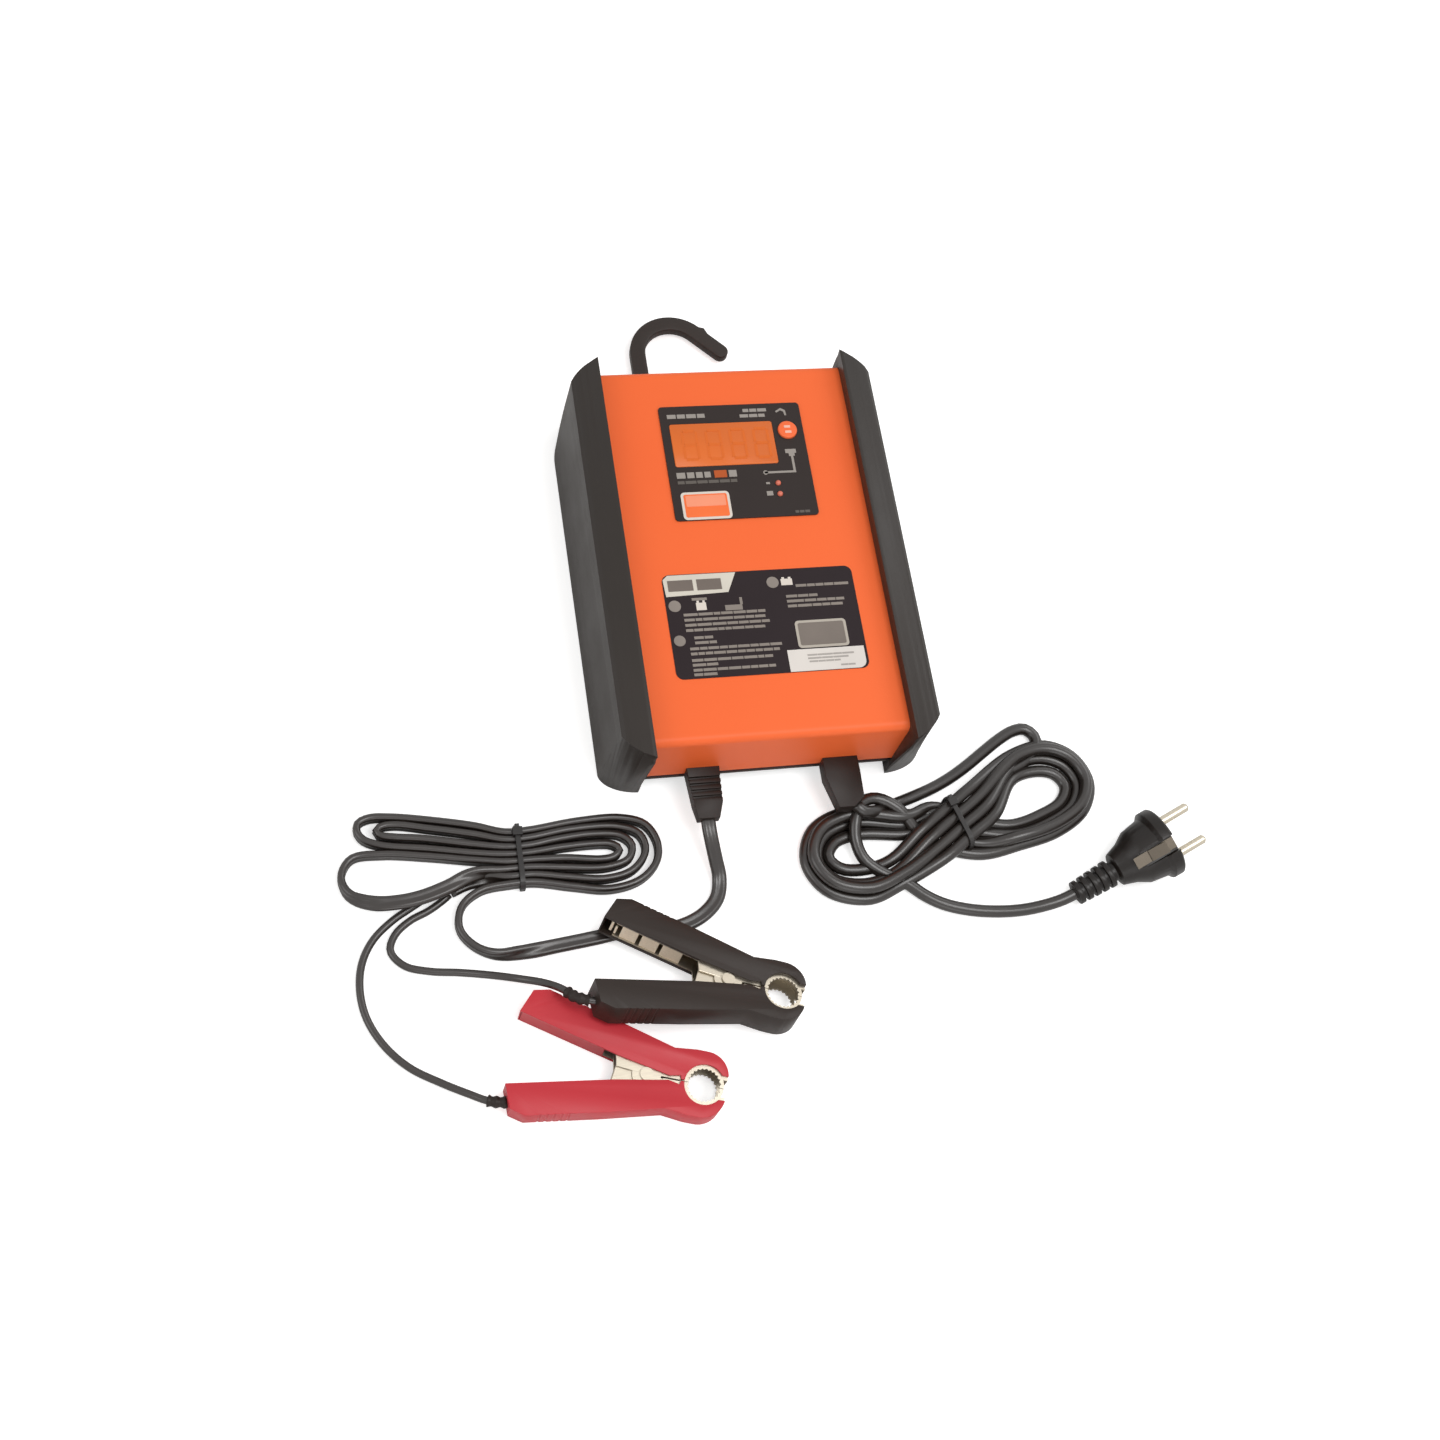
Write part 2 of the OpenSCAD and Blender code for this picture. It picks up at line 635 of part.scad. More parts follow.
module fuse_holder() color("#b9bcbf") on_body() for (y = [-1, 1])
  translate([fuse_at[0], fuse_at[1] + y * 8, board_top]) difference() {
    translate([-4, -2.5, 0]) cube([8, 5, 8]);
    translate([-2.65, -3, 3]) cube([5.3, 6, 6]);
    translate([-2.65, -3, 5.3]) cube([5.3, 6, 4]);
  }

module fuse() color("#dfe3e4") on_body()
  translate([fuse_at[0], fuse_at[1] + 10, board_top + 5.6]) rotate([90, 0, 0]) {
    cylinder(h = 20, r = 2.45);
    for (z = [0, 15]) translate([0, 0, z]) cylinder(h = 5, r = 2.6);
  }

module relay() color("#2f4f7a") on_body() slab(6, board_y + 46, board_top, board_top + 15, [19, 15.5], 1);

block_at = [26, board_high - 14];

module terminal_block() color("#3c7a52") on_body() difference() {
  slab(block_at[0], block_at[1], board_top, board_top + 11, [24, 12], 0.5);
  for (x = [-1, 0, 1]) {
    translate([block_at[0] + x * 7.5, block_at[1] - 5, board_top + 4]) rotate([90, 0, 0])
      cylinder(h = 4, r = 2);
    post(block_at[0] + x * 7.5, block_at[1], board_top + 6, board_top + 12, 2.2);
  }
}

// Flat cable between the two boards
module ribbon_cable() color("#c9ccd0") on_body() bar_y(panel_y - 8, panel_y + 8) {
  translate([-20, board_top]) square([1, display_z - board_top]);
  translate([-22, board_top]) square([5, 4]);
  translate([-22, display_z - 4]) square([5, 4]);
}

// Neck and collar that hold a boot in the shell
module boot_root(w) {
  translate([-w / 2 + 2, -half_l - 1, boot_neck_z]) cube([w - 4, sheet_t + 3, boot_neck_t]);
  translate([0, -half_l + sheet_t + fit, boot_z]) bar_x(-w / 2, w / 2)
    polygon([[bend_r - sheet_t, 0], [boot_collar_t, 0], [boot_collar_t, boot_neck_t + 2.4],
      [0, boot_neck_t + 2.4], [0, bend_r - sheet_t]]);
}

// Tapered boot of the output lead with its cross ribs
module dc_boot() color("#2f2a28") on_body() translate([-dc_boot_left, 0, 0]) {
  boot_root(dc_boot_w);
  difference() {
    intersection() {
      translate([0, 0, boot_z]) linear_extrude(boot_t) polygon([
        [-dc_boot_w / 2, -half_l], [dc_boot_w / 2, -half_l],
        [dc_boot_w / 2 - 0.6, boot_end_y + 8], [dc_lead_w / 2 + 1.8, boot_end_y],
        [-dc_lead_w / 2 - 1.8, boot_end_y], [-dc_boot_w / 2 + 1.4, boot_end_y + 8]]);
      bar_x(-20, 20) polygon([[-half_l, boot_z], [boot_end_y, boot_z - 1.4 + eps],
        [boot_end_y, boot_z + boot_t - 3], [boot_end_y + 9, boot_z + boot_t - 0.8],
        [-half_l, boot_z + boot_t]]);
    }
    for (i = [0 : 3]) translate([-20, -half_l - 6.4 - i * 3.4, boot_z + boot_t - 1.9]) cube([40, 1.5, 3]);
  }
}

// Wedge shaped boot of the mains lead, cut off slantwise where the lead leaves
module mains_boot() color("#2f2a28") on_body() translate([mains_boot_right, 0, 0]) {
  boot_root(mains_boot_w);
  intersection() {
    translate([0, 0, boot_z - 2]) linear_extrude(boot_t + 2) polygon([
      [-mains_boot_w / 2, -half_l], [mains_boot_w / 2, -half_l],
      [mains_boot_w / 2 + 0.6, boot_end_y + 4.6], [4.2, boot_end_y], [-4, boot_end_y],
      [-mains_boot_w / 2, -half_l - 10]]);
    bar_x(-20, 20) polygon([[-half_l, boot_z], [-half_l - 8, boot_z], [boot_end_y, boot_z - 2],
      [boot_end_y, boot_z + boot_t - 3], [-half_l - 8, boot_z + boot_t], [-half_l, boot_z + boot_t]]);
  }
}

// Smooth curve through the points of a route, with n steps between two points
function bend(a, b, c, d, t) = 0.5 * (2 * b + (c - a) * t + (2 * a - 5 * b + 4 * c - d) * t * t
  + (3 * b - a - 3 * c + d) * t * t * t);
function along(p, n) = [for (i = [0 : len(p) - 2], k = [0 : n - 1])
  bend(p[max(i - 1, 0)], p[i], p[i + 1], p[min(i + 2, len(p) - 1)], k / n), p[len(p) - 1]];
function unit(v) = v / norm(v);

// Tube with an oval section of width w and height h swept along a route
module tube(route, w, h, n) {
  sides = 8;
  p = along(route, n);
  last = len(p) - 1;
  rings = [for (i = [0 : last]) let (
      t = unit(p[min(i + 1, last)] - p[max(i - 1, 0)]),
      s = unit(cross([0, 0, 1], t)), u = cross(t, s))
    for (k = [0 : sides - 1]) p[i] + s * cos(360 * (k + 0.5) / sides) * w / 2
      + u * sin(360 * (k + 0.5) / sides) * h / 2];
  polyhedron(rings, concat(
    [[for (k = [sides - 1 : -1 : 0]) k]],
    [[for (k = [0 : sides - 1]) last * sides + k]],
    [for (i = [0 : last - 1], k = [0 : sides - 1]) let (j = (k + 1) % sides)
      [i * sides + k, i * sides + j, (i + 1) * sides + j, (i + 1) * sides + k]]));
}

module dc_lead() color("#3a3432") tube(dc_route, dc_lead_w, dc_lead_t, 1);
module black_lead() color("#3a3432") tube(black_route, dc_lead_t, dc_lead_t, 1);
module red_lead() color("#3a3432") tube(red_route, dc_lead_t, dc_lead_t, 1);
module mains_lead() color("#2e2a28") tube(mains_route, mains_d, mains_d, 1);
module mains_tail() color("#2e2a28") tube(tail_route, mains_d, mains_d, 1);

dc_tie_x = -131;
dc_waist = [-176, -143];
mains_tie_at = [98, -163];
mains_tie_turn = 17;
mains_waist = 28.2;
mains_tie_w = mains_waist + 2 * tie_t;

// Outer shape of the folded output lead: two lobes that meet under the tie
module dc_hank() color("#35302e") translate([0, 0, 0.3]) linear_extrude(dc_hank_h) {
  hull() {
    translate([-194, -144]) circle(r = 11, $fn = 24);
    translate([-206, -166]) circle(r = 14, $fn = 24);
    translate([-194, -169]) circle(r = 14, $fn = 24);
    translate([dc_tie_x - 4, dc_waist[0]]) square([4, dc_waist[1] - dc_waist[0]]);
  }
  hull() {
    translate([-77, -161]) circle(r = 19, $fn = 32);
    translate([-86, -165]) circle(r = 20, $fn = 32);
    translate([dc_tie_x, dc_waist[0]]) square([4, dc_waist[1] - dc_waist[0]]);
  }
}

// Outer shape of the mains lead's figure of eight
module mains_hank() color("#2e2a28") translate([0, 0, 0.3]) linear_extrude(mains_hank_h) {
  hull() {
    translate([36, -175]) circle(r = 25, $fn = 32);
    translate([52, -179]) circle(r = 23, $fn = 32);
    translate(mains_tie_at) circle(r = 12, $fn = 24);
  }
  hull() {
    translate([147, -150]) circle(r = 29.6, $fn = 32);
    translate([136, -153]) circle(r = 28, $fn = 32);
    translate(mains_tie_at) circle(r = 12, $fn = 24);
  }
}

// Plastic ties round the waist of each bundle
module cable_ties() color("#1f1d1c") {
  translate([dc_tie_x - tie_w / 2, dc_waist[0] - tie_t - 0.3, 0.1]) difference() {
    cube([tie_w, dc_waist[1] - dc_waist[0] + 2 * tie_t + 0.6, dc_hank_h + tie_t + 0.5]);
    translate([-1, tie_t, -1]) cube([tie_w + 2, dc_waist[1] - dc_waist[0] + 0.6, dc_hank_h + 1.5]);
  }
  translate([mains_tie_at[0], mains_tie_at[1], 0.1]) rotate(mains_tie_turn - 90) difference() {
    translate([-mains_tie_w / 2, -tie_w / 2, 0]) cube([mains_tie_w, tie_w, mains_hank_h + tie_t + 0.4]);
    translate([-mains_tie_w / 2 + tie_t, -tie_w, -1])
      cube([mains_tie_w - 2 * tie_t, 2 * tie_w, mains_hank_h + 1.4]);
  }
}

// Side outline of an upper grip: handle, waist and the nose over the jaw
module grip_outline() difference() {
  union() {
    polygon([[-65, 20], [-14.6, 8.1], [5.8, 2.1], [11.2, 14.9], [-18, 22.6], [-52.9, 31], [-60.5, 29.2]]);
    translate([27.5, 4.5]) circle(r = 11.6);
    polygon([[5.8, 2.1], [10.7, 1.1], [27.5, 4.5], [27.5, 16.1], [22, 16.1], [11.2, 14.9]]);
  }
  translate(jaw_centre) circle(r = jaw_gap_r + jaw_ring + fit);
  translate([26, -14]) square([20, 20]);
  translate([4, -20]) square([50, 20.4]);
}

// Moulded grip: a channel that fits over the jaw steel, with ribs across its back
module grip() difference() {
  linear_extrude(clamp_w, center = true) grip_outline();
  linear_extrude(clamp_w - 2 * clamp_wall, center = true) translate([0, -clamp_wall]) grip_outline();
  for (i = [0 : 4]) translate([-46 + i * 3.4, 29.9 - i * 0.8, 0])
    cylinder(h = clamp_w + 2, r = 0.9, center = true, $fn = 16);
}

// Outline of the jaw steel inside a grip
module steel_outline() intersection() {
  translate([0, -clamp_wall - fit]) grip_outline();
  translate([-58, 0.4]) square([110, 60]);
}

// Half ring with teeth that bites on the battery post
module ring_outline() intersection() {
  translate(jaw_centre) difference() {
    circle(r = jaw_gap_r + jaw_ring);
    circle(r = jaw_gap_r);
    for (a = [15 : 15 : 165]) rotate(a) translate([jaw_gap_r, 0]) rotate(45) square(1.1, center = true);
  }
  translate([0, 0.15]) square([60, 30]);
}

module pin_hole() cylinder(h = clamp_w + 4, r = clamp_pin_r + run, center = true);

module side_plates(z0, z1) for (s = [0, 1]) mirror([0, 0, s]) translate([0, 0, z0])
  linear_extrude(z1 - z0) children();

module web() linear_extrude(2 * jaw_half, center = true) difference() {
  steel_outline();
  translate([0, -jaw_t]) steel_outline();
}

// Folded jaw steel of the upper half, with its ears outside
module upper_jaw() difference() {
  union() {
    web();
    side_plates(jaw_half - jaw_t, jaw_half) {
      steel_outline();
      ring_outline();
      circle(r = ear_r);
    }
  }
  pin_hole();
}

// Folded jaw steel of the lower half: its ears are set in between the upper ones
module lower_jaw() mirror([0, 1, 0]) difference() {
  union() {
    web();
    side_plates(jaw_half - jaw_t, jaw_half) difference() {
      union() {
        steel_outline();
        ring_outline();
      }
      circle(r = ear_r + 1.2);
    }
    side_plates(jaw_half - 2 * jaw_t - 0.1, jaw_half - jaw_t + 0.05) difference() {
      intersection() {
        steel_outline();
        circle(r = ear_r + 5);
      }
      circle(r = ear_r + 1.2);
    }
    side_plates(jaw_half - 2 * jaw_t - 0.1, jaw_half - jaw_t - 0.1) {
      circle(r = ear_r);
      intersection() {
        steel_outline();
        circle(r = ear_r + 5);
      }
    }
  }
  pin_hole();
}

module clamp_pin() {
  cylinder(h = 2 * jaw_half + 0.4, r = clamp_pin_r, center = true);
  for (s = [0, 1]) mirror([0, 0, s]) translate([0, 0, jaw_half + 0.1]) cylinder(h = 0.8, r = 3.2);
}

spring_turns = 5;
coil_r = clamp_pin_r + spring_wire_r + 0.02;

// Coil round the pin with its two legs
module clamp_spring() {
  rotate_extrude() {
    translate([coil_r, 0]) square([spring_wire_r, 1.7 * spring_wire_r * (spring_turns - 1)], center = true);
    for (i = [0 : spring_turns - 1])
      translate([coil_r, (i - (spring_turns - 1) / 2) * 1.7 * spring_wire_r]) circle(r = spring_wire_r, $fn = 16);
  }
  for (s = [-1, 1]) translate([1, s * (coil_r - 0.1), s * (spring_turns - 1) / 2 * 1.7 * spring_wire_r])
    rotate([0, -90, 0]) cylinder(h = 14, r = 0.9 * spring_wire_r, $fn = 16);
}

module on_clamp(at, turn) translate(at) rotate(turn) children();

module black_lower_grip() color("#3b3330") on_clamp(black_at, black_turn) mirror([0, 1, 0]) grip();
module black_upper_grip() color("#3b3330") on_clamp(black_at, black_turn) grip();
module black_lower_jaw() color("#c9c2b4") on_clamp(black_at, black_turn) lower_jaw();
module black_upper_jaw() color("#c9c2b4") on_clamp(black_at, black_turn) upper_jaw();
module black_pin() color("#b5b0a5") on_clamp(black_at, black_turn) clamp_pin();
module black_spring() color("#a8a59c") on_clamp(black_at, black_turn) clamp_spring();
module red_lower_grip() color("#c93a41") on_clamp(red_at, red_turn) mirror([0, 1, 0]) grip();
module red_upper_grip() color("#c93a41") on_clamp(red_at, red_turn) grip();
module red_lower_jaw() color("#c9c2b4") on_clamp(red_at, red_turn) lower_jaw();
module red_upper_jaw() color("#c9c2b4") on_clamp(red_at, red_turn) upper_jaw();
module red_pin() color("#b5b0a5") on_clamp(red_at, red_turn) clamp_pin();
module red_spring() color("#a8a59c") on_clamp(red_at, red_turn) clamp_spring();

module on_plug() translate(plug_at) rotate([0, plug_turn[1], plug_turn[2]]) rotate([plug_turn[0], 0, 0]) children();

// Moulded plug: ribbed strain relief, neck, round body and the slots of its earth strips
module plug_body() color("#262322") on_plug() difference() {
  rotate([0, 90, 0]) {
    rotate_extrude($fn = 64) polygon([[0, 0], [4.8, 0], [5.4, plug_relief_l],
      [9, plug_relief_l + 1], [11.4, plug_relief_l + 8], [15, plug_relief_l + 14],
      [16.6, plug_relief_l + 24], [plug_r, plug_relief_l + 26], [plug_r, plug_face - 1], [plug_r - 1, plug_face],
      [0, plug_face]]);
    for (i = [0 : 4]) translate([0, 0, 0.5 + i * 4.6]) cylinder(h = 2.6, r = 6.4 + 0.25 * i);
  }
  for (z = [0, 1]) mirror([0, 0, z]) {
    translate([plug_face - 24, -4.4, plug_r - 5.2]) cube([40, 8.8, 10]);
    translate([plug_face - 17, -9, plug_r - 2.6]) cube([9, 18, 10]);
  }
  for (y = [-1, 1]) translate([plug_face - 10, y * plug_pin_pitch / 2, 0]) rotate([0, 90, 0])
    cylinder(h = 20, r = plug_root_r + run / 2);
}

// Turned pins with a wider root that ends level with the plug's face
module plug_pins() color("#c8c3b8") on_plug()
  for (y = [-1, 1]) translate([plug_face - 9.8, y * plug_pin_pitch / 2, 0]) rotate([0, 90, 0]) {
    cylinder(h = 9.8, r = plug_root_r);
    cylinder(h = plug_pin_l + 8.8, r = plug_pin_r);
    translate([0, 0, plug_pin_l + 8.8]) cylinder(h = 1, r1 = plug_pin_r, r2 = plug_pin_r - 1);
  }

// Spring strips that meet the earth contacts of a socket
module earth_strips() color("#c8c3b8") on_plug()
  for (z = [0, 1]) mirror([0, 0, z]) {
    translate([plug_face - 23.8, -3, plug_r - 5.2]) cube([23.6, 6, 0.8]);
    translate([plug_face - 15, -3, plug_r - 4.4 - eps]) rotate([0, -12, 0]) cube([10, 6, 0.8]);
  }

front_shell();
back_plate();
back_screws();
left_end_cap();
right_end_cap();
cap_screws();
control_panel();
display_window();
lcd_module();
mode_button();
tact_switch();
status_lamps();
display_board();
display_standoffs();
guide_label();
hook();
hook_bush();
hook_washer();
hook_screw();
hook_nut();
main_board();
board_standoffs();
board_screws();
transformer_core();
transformer_winding();
heat_sink();
power_transistors();
bulk_capacitor();
output_capacitors();
choke();
fuse();
fuse_holder();
relay();
terminal_block();
ribbon_cable();
dc_boot();
mains_boot();
dc_lead();
dc_hank();
cable_ties();
black_lead();
red_lead();
black_lower_grip();
black_upper_grip();
black_lower_jaw();
black_upper_jaw();
black_pin();
black_spring();
red_lower_grip();
red_upper_grip();
red_lower_jaw();
red_upper_jaw();
red_pin();
red_spring();
mains_lead();
mains_hank();
mains_tail();
plug_body();
plug_pins();
earth_strips();
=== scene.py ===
import random
from math import cos, pi, radians, sin, sqrt

import bmesh
import bpy
from mathutils import Euler, Matrix, Vector


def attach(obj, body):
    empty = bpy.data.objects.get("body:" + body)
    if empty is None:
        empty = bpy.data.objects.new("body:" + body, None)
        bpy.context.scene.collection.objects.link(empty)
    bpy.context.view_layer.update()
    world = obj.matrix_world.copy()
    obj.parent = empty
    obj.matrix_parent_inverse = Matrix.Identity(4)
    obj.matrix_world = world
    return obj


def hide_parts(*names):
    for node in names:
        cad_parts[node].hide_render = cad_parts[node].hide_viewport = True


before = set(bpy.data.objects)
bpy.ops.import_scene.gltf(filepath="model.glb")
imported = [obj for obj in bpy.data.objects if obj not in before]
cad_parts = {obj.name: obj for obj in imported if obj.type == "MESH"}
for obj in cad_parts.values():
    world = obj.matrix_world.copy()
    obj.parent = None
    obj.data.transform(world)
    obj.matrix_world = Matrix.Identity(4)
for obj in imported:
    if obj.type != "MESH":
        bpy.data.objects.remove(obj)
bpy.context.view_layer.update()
scene = bpy.context.scene

# The view: a battery maintainer on its back on a pale floor, seen from above and from
# its lower left with a 50 mm lens. One soft light hangs over it, three weaker ones fill
# from the right, the left and the front, and the paper behind it stays white.
EYE = Vector((-0.2445, -0.4900, 0.9440))
LOOKED_AT = Vector((-0.0172, -0.0925, 0.0))
EYE_TURN = radians(23.14)
PAPER_HALF = 6
PAPER_LIFT = 0.55


def paint(code):
    """sRGB hex to the linear colour that a shader takes."""
    parts = [int(code[i : i + 2], 16) / 255 for i in (1, 3, 5)]
    return [c / 12.92 if c <= 0.04045 else ((c + 0.055) / 1.055) ** 2.4 for c in parts] + [1.0]


def add(tree, kind, settings=None, **inputs):
    """Adds a node, sets its properties, and sets or links its inputs."""
    made = tree.nodes.new(kind)
    for key, value in (settings or {}).items():
        setattr(made, key, value)
    for key, value in inputs.items():
        socket = made.inputs[int(key[1:])] if key[1:].isdigit() else made.inputs[key.replace("_", " ")]
        if isinstance(value, bpy.types.NodeSocket):
            tree.links.new(value, socket)
        else:
            socket.default_value = value
    return made


def blank(name):
    """A new material with only its output node."""
    material = bpy.data.materials.new(name)
    material.use_nodes = True
    material.node_tree.nodes.clear()
    return material, material.node_tree, add(material.node_tree, "ShaderNodeOutputMaterial")


eye = bpy.data.objects.new("eye", bpy.data.cameras.new("eye"))
eye.data.lens = 50
eye.data.sensor_width = 36
eye.data.clip_start = 0.01
aim = (LOOKED_AT - EYE).to_track_quat("-Z", "Y").to_matrix().to_4x4()
eye.matrix_world = Matrix.Translation(EYE) @ aim @ Matrix.Rotation(EYE_TURN, 4, "Z")
scene.collection.objects.link(eye)
scene.camera = eye
scene.view_settings.view_transform = "Standard"

# Studio paper: matt white, so it takes the soft shadow, and lifted to white to the eye
paper, tree, out = blank("white_studio_paper")
matt = add(tree, "ShaderNodeBsdfDiffuse", Color=paint("#F4F4F4"))
lift = add(tree, "ShaderNodeEmission", Color=(1, 1, 1, 1), Strength=PAPER_LIFT)
seen = add(tree, "ShaderNodeLightPath")
shown = add(tree, "ShaderNodeMixShader", Fac=seen.outputs["Is Camera Ray"],
            _1=add(tree, "ShaderNodeEmission", Strength=0.0).outputs[0], _2=lift.outputs[0])
both = add(tree, "ShaderNodeAddShader", _0=matt.outputs[0], _1=shown.outputs[0])
tree.links.new(both.outputs[0], out.inputs[0])
ground = bpy.data.meshes.new("paper")
corners = ((-1, -1), (1, -1), (1, 1), (-1, 1))
ground.from_pydata([(x * PAPER_HALF, y * PAPER_HALF, 0) for x, y in corners], [], [(0, 1, 2, 3)])
ground.materials.append(paper)
floor = bpy.data.objects.new("paper", ground)
scene.collection.objects.link(floor)

# Room: soft light, a little warm, and plain white to the eye, in glass and in gloss
world = bpy.data.worlds.new("studio")
scene.world = world
world.use_nodes = True
tree = world.node_tree
tree.nodes.clear()
seen = add(tree, "ShaderNodeLightPath")
clear = add(tree, "ShaderNodeMath", {"operation": "MAXIMUM"}, _0=seen.outputs["Is Camera Ray"],
            _1=seen.outputs["Is Transmission Ray"])
glossy = add(tree, "ShaderNodeMath", {"operation": "MAXIMUM"}, _0=clear.outputs[0],
             _1=seen.outputs["Is Glossy Ray"])
room = add(tree, "ShaderNodeBackground", Color=(1, 0.985, 0.96, 1), Strength=0.5)
white = add(tree, "ShaderNodeBackground", Color=(1, 1, 1, 1), Strength=1.0)
mixed = add(tree, "ShaderNodeMixShader", Fac=glossy.outputs[0], _1=room.outputs[0], _2=white.outputs[0])
tree.links.new(mixed.outputs[0], add(tree, "ShaderNodeOutputWorld").inputs[0])

for name, place, size, watts in (("top_softbox", (0.25, -0.4, 1.1), 0.6, 5.4),
                                 ("right_fill", (1.25, 0.65, 1.05), 0.9, 5.0),
                                 ("left_fill", (-1.4, -0.3, 0.9), 0.8, 3.5),
                                 ("front_fill", (-0.2, -1.5, 0.4), 0.9, 2.4)):
    lamp = bpy.data.objects.new(name, bpy.data.lights.new(name, "AREA"))
    lamp.data.shape = "DISK"
    lamp.data.size = size
    lamp.data.energy = watts
    facing = (-Vector(place)).to_track_quat("-Z", "Y").to_matrix().to_4x4()
    lamp.matrix_world = Matrix.Translation(place) @ facing
    scene.collection.objects.link(lamp)

# Mains lead: nearly 1.9 m of round black PVC cord. It rises along the top of its
# bundle, turns back, goes four times round a crossed figure of eight that a tie holds,
# drops through the left loop and runs to the plug.
MAINS_D = 0.0064
MAINS_STEP = 0.003
ENDS_Z = 0.0035
LEAD_LOW = 0.0034
LEAD_HIGH = 0.0091
MAINS_TIE = Vector((0.098, -0.163))
MAINS_TIE_TURN = radians(17)
OVER_TURN = radians(34)
UNDER_TURN = radians(-22)
SPAN_STEPS = 24


def level(height, *spots):
    """Points at one height above places on the floor."""
    return [(x, y, height) for x, y in spots]


mains_start = [(0.042, -0.151, 0.016), (0.046, -0.155, 0.0154), (0.052, -0.1546, 0.012),
               (0.060, -0.1516, 0.007), (0.068, -0.1484, 0.004)]
mains_start += level(ENDS_Z, (0.078, -0.1452), (0.089, -0.1414), (0.100, -0.1364), (0.111, -0.130),
                     (0.121, -0.1234), (0.131, -0.117), (0.140, -0.1126), (0.147, -0.112),
                     (0.1516, -0.117), (0.150, -0.125))
tail = level(ENDS_Z, (0.064, -0.191), (0.074, -0.1996), (0.083, -0.205), (0.095, -0.209),
             (0.109, -0.2114), (0.124, -0.212))
tail += [(0.138, -0.2106, 0.004), (0.147, -0.2088, 0.0052), (0.158, -0.205, 0.0076)]
left_outer = [(0.070, -0.155), (0.042, -0.1505), (0.021, -0.159), (0.0145, -0.176),
              (0.023, -0.192), (0.044, -0.1985), (0.063, -0.192)]
left_inner = [(0.070, -0.1655), (0.044, -0.1635), (0.031, -0.167), (0.0265, -0.1745),
              (0.032, -0.181), (0.045, -0.1825), (0.060, -0.1785)]
right_outer = [(0.137, -0.126), (0.156, -0.1225), (0.170, -0.130), (0.176, -0.145),
               (0.170, -0.160), (0.153, -0.171), (0.131, -0.1765)]
right_inner = [(0.134, -0.140), (0.148, -0.1365), (0.158, -0.139), (0.1625, -0.1465),
               (0.158, -0.155), (0.146, -0.161), (0.128, -0.1655)]


def between(outer, inner, share, height):
    """Ring points at a share of the way from the outer to the inner turn."""
    return [(a[0] + (b[0] - a[0]) * share, a[1] + (b[1] - a[1]) * share, height)
            for a, b in zip(outer, inner)]


def tie_point(tie, turn, ahead, aside, height):
    """A point near a tie: ahead along the strands and aside across them."""
    c, s = cos(turn), sin(turn)
    return (tie[0] + ahead * c - aside * s, tie[1] + ahead * s + aside * c, height)


def smooth(points, step):
    """Even points on one smooth curve through the given ones."""
    p = [Vector(q) for q in points]
    p = [2 * p[0] - p[1]] + p + [2 * p[-1] - p[-2]]
    fine = []
    for a, b, c, d in zip(p, p[1:], p[2:], p[3:]):
        t = [0.0]
        for u, v in ((a, b), (b, c), (c, d)):
            t.append(t[-1] + max((v - u).length, 1e-6) ** 0.5)
        for i in range(SPAN_STEPS):
            x = t[1] + (t[2] - t[1]) * i / SPAN_STEPS
            a1 = a.lerp(b, (x - t[0]) / (t[1] - t[0]))
            a2 = b.lerp(c, (x - t[1]) / (t[2] - t[1]))
            a3 = c.lerp(d, (x - t[2]) / (t[3] - t[2]))
            b1 = a1.lerp(a2, (x - t[0]) / (t[2] - t[0]))
            b2 = a2.lerp(a3, (x - t[1]) / (t[3] - t[1]))
            fine.append(b1.lerp(b2, (x - t[1]) / (t[2] - t[1])))
    fine.append(p[-2])
    total = sum((b - a).length for a, b in zip(fine, fine[1:]))
    count = max(2, round(total / step))
    even, walked, k = [fine[0]], 0.0, 0
    for i in range(1, count):
        goal = total * i / count
        while walked + (fine[k + 1] - fine[k]).length < goal:
            walked += (fine[k + 1] - fine[k]).length
            k += 1
        even.append(fine[k].lerp(fine[k + 1], (goal - walked) / (fine[k + 1] - fine[k]).length))
    return even + [fine[-1]]


def sweep(name, path, section, roll=None, swell=None):
    """Mesh of a section carried along a path, with its ends closed and its own UV."""
    bm = bmesh.new()
    uv = bm.loops.layers.uv.new("UVMap")
    rings, gone, last = [], [0.0], len(path) - 1
    for i, p in enumerate(path):
        along = (path[min(i + 1, last)] - path[max(i - 1, 0)]).normalized()
        side = along.cross(Vector((0, 0, 1))).normalized()
        rise = side.cross(along)
        r = roll(i / last) if roll else 0.0
        across = side * cos(r) + rise * sin(r)
        over = rise * cos(r) - side * sin(r)
        grow = swell(i / last) if swell else 1.0
        rings.append([bm.verts.new(p + across * x * grow + over * y * grow) for x, y in section])
        if i:
            gone.append(gone[-1] + (p - path[i - 1]).length)
    n = len(section)
    for i in range(last):
        for j in range(n):
            k = (j + 1) % n
            face = bm.faces.new((rings[i][j], rings[i][k], rings[i + 1][k], rings[i + 1][j]))
            for loop, (u, row) in zip(face.loops, ((j, i), (j + 1, i), (j + 1, i + 1), (j, i + 1))):
                loop[uv].uv = (u / n, gone[row])
    bm.faces.new(rings[0][::-1])
    bm.faces.new(rings[-1])
    return mesh_piece(name, bm)


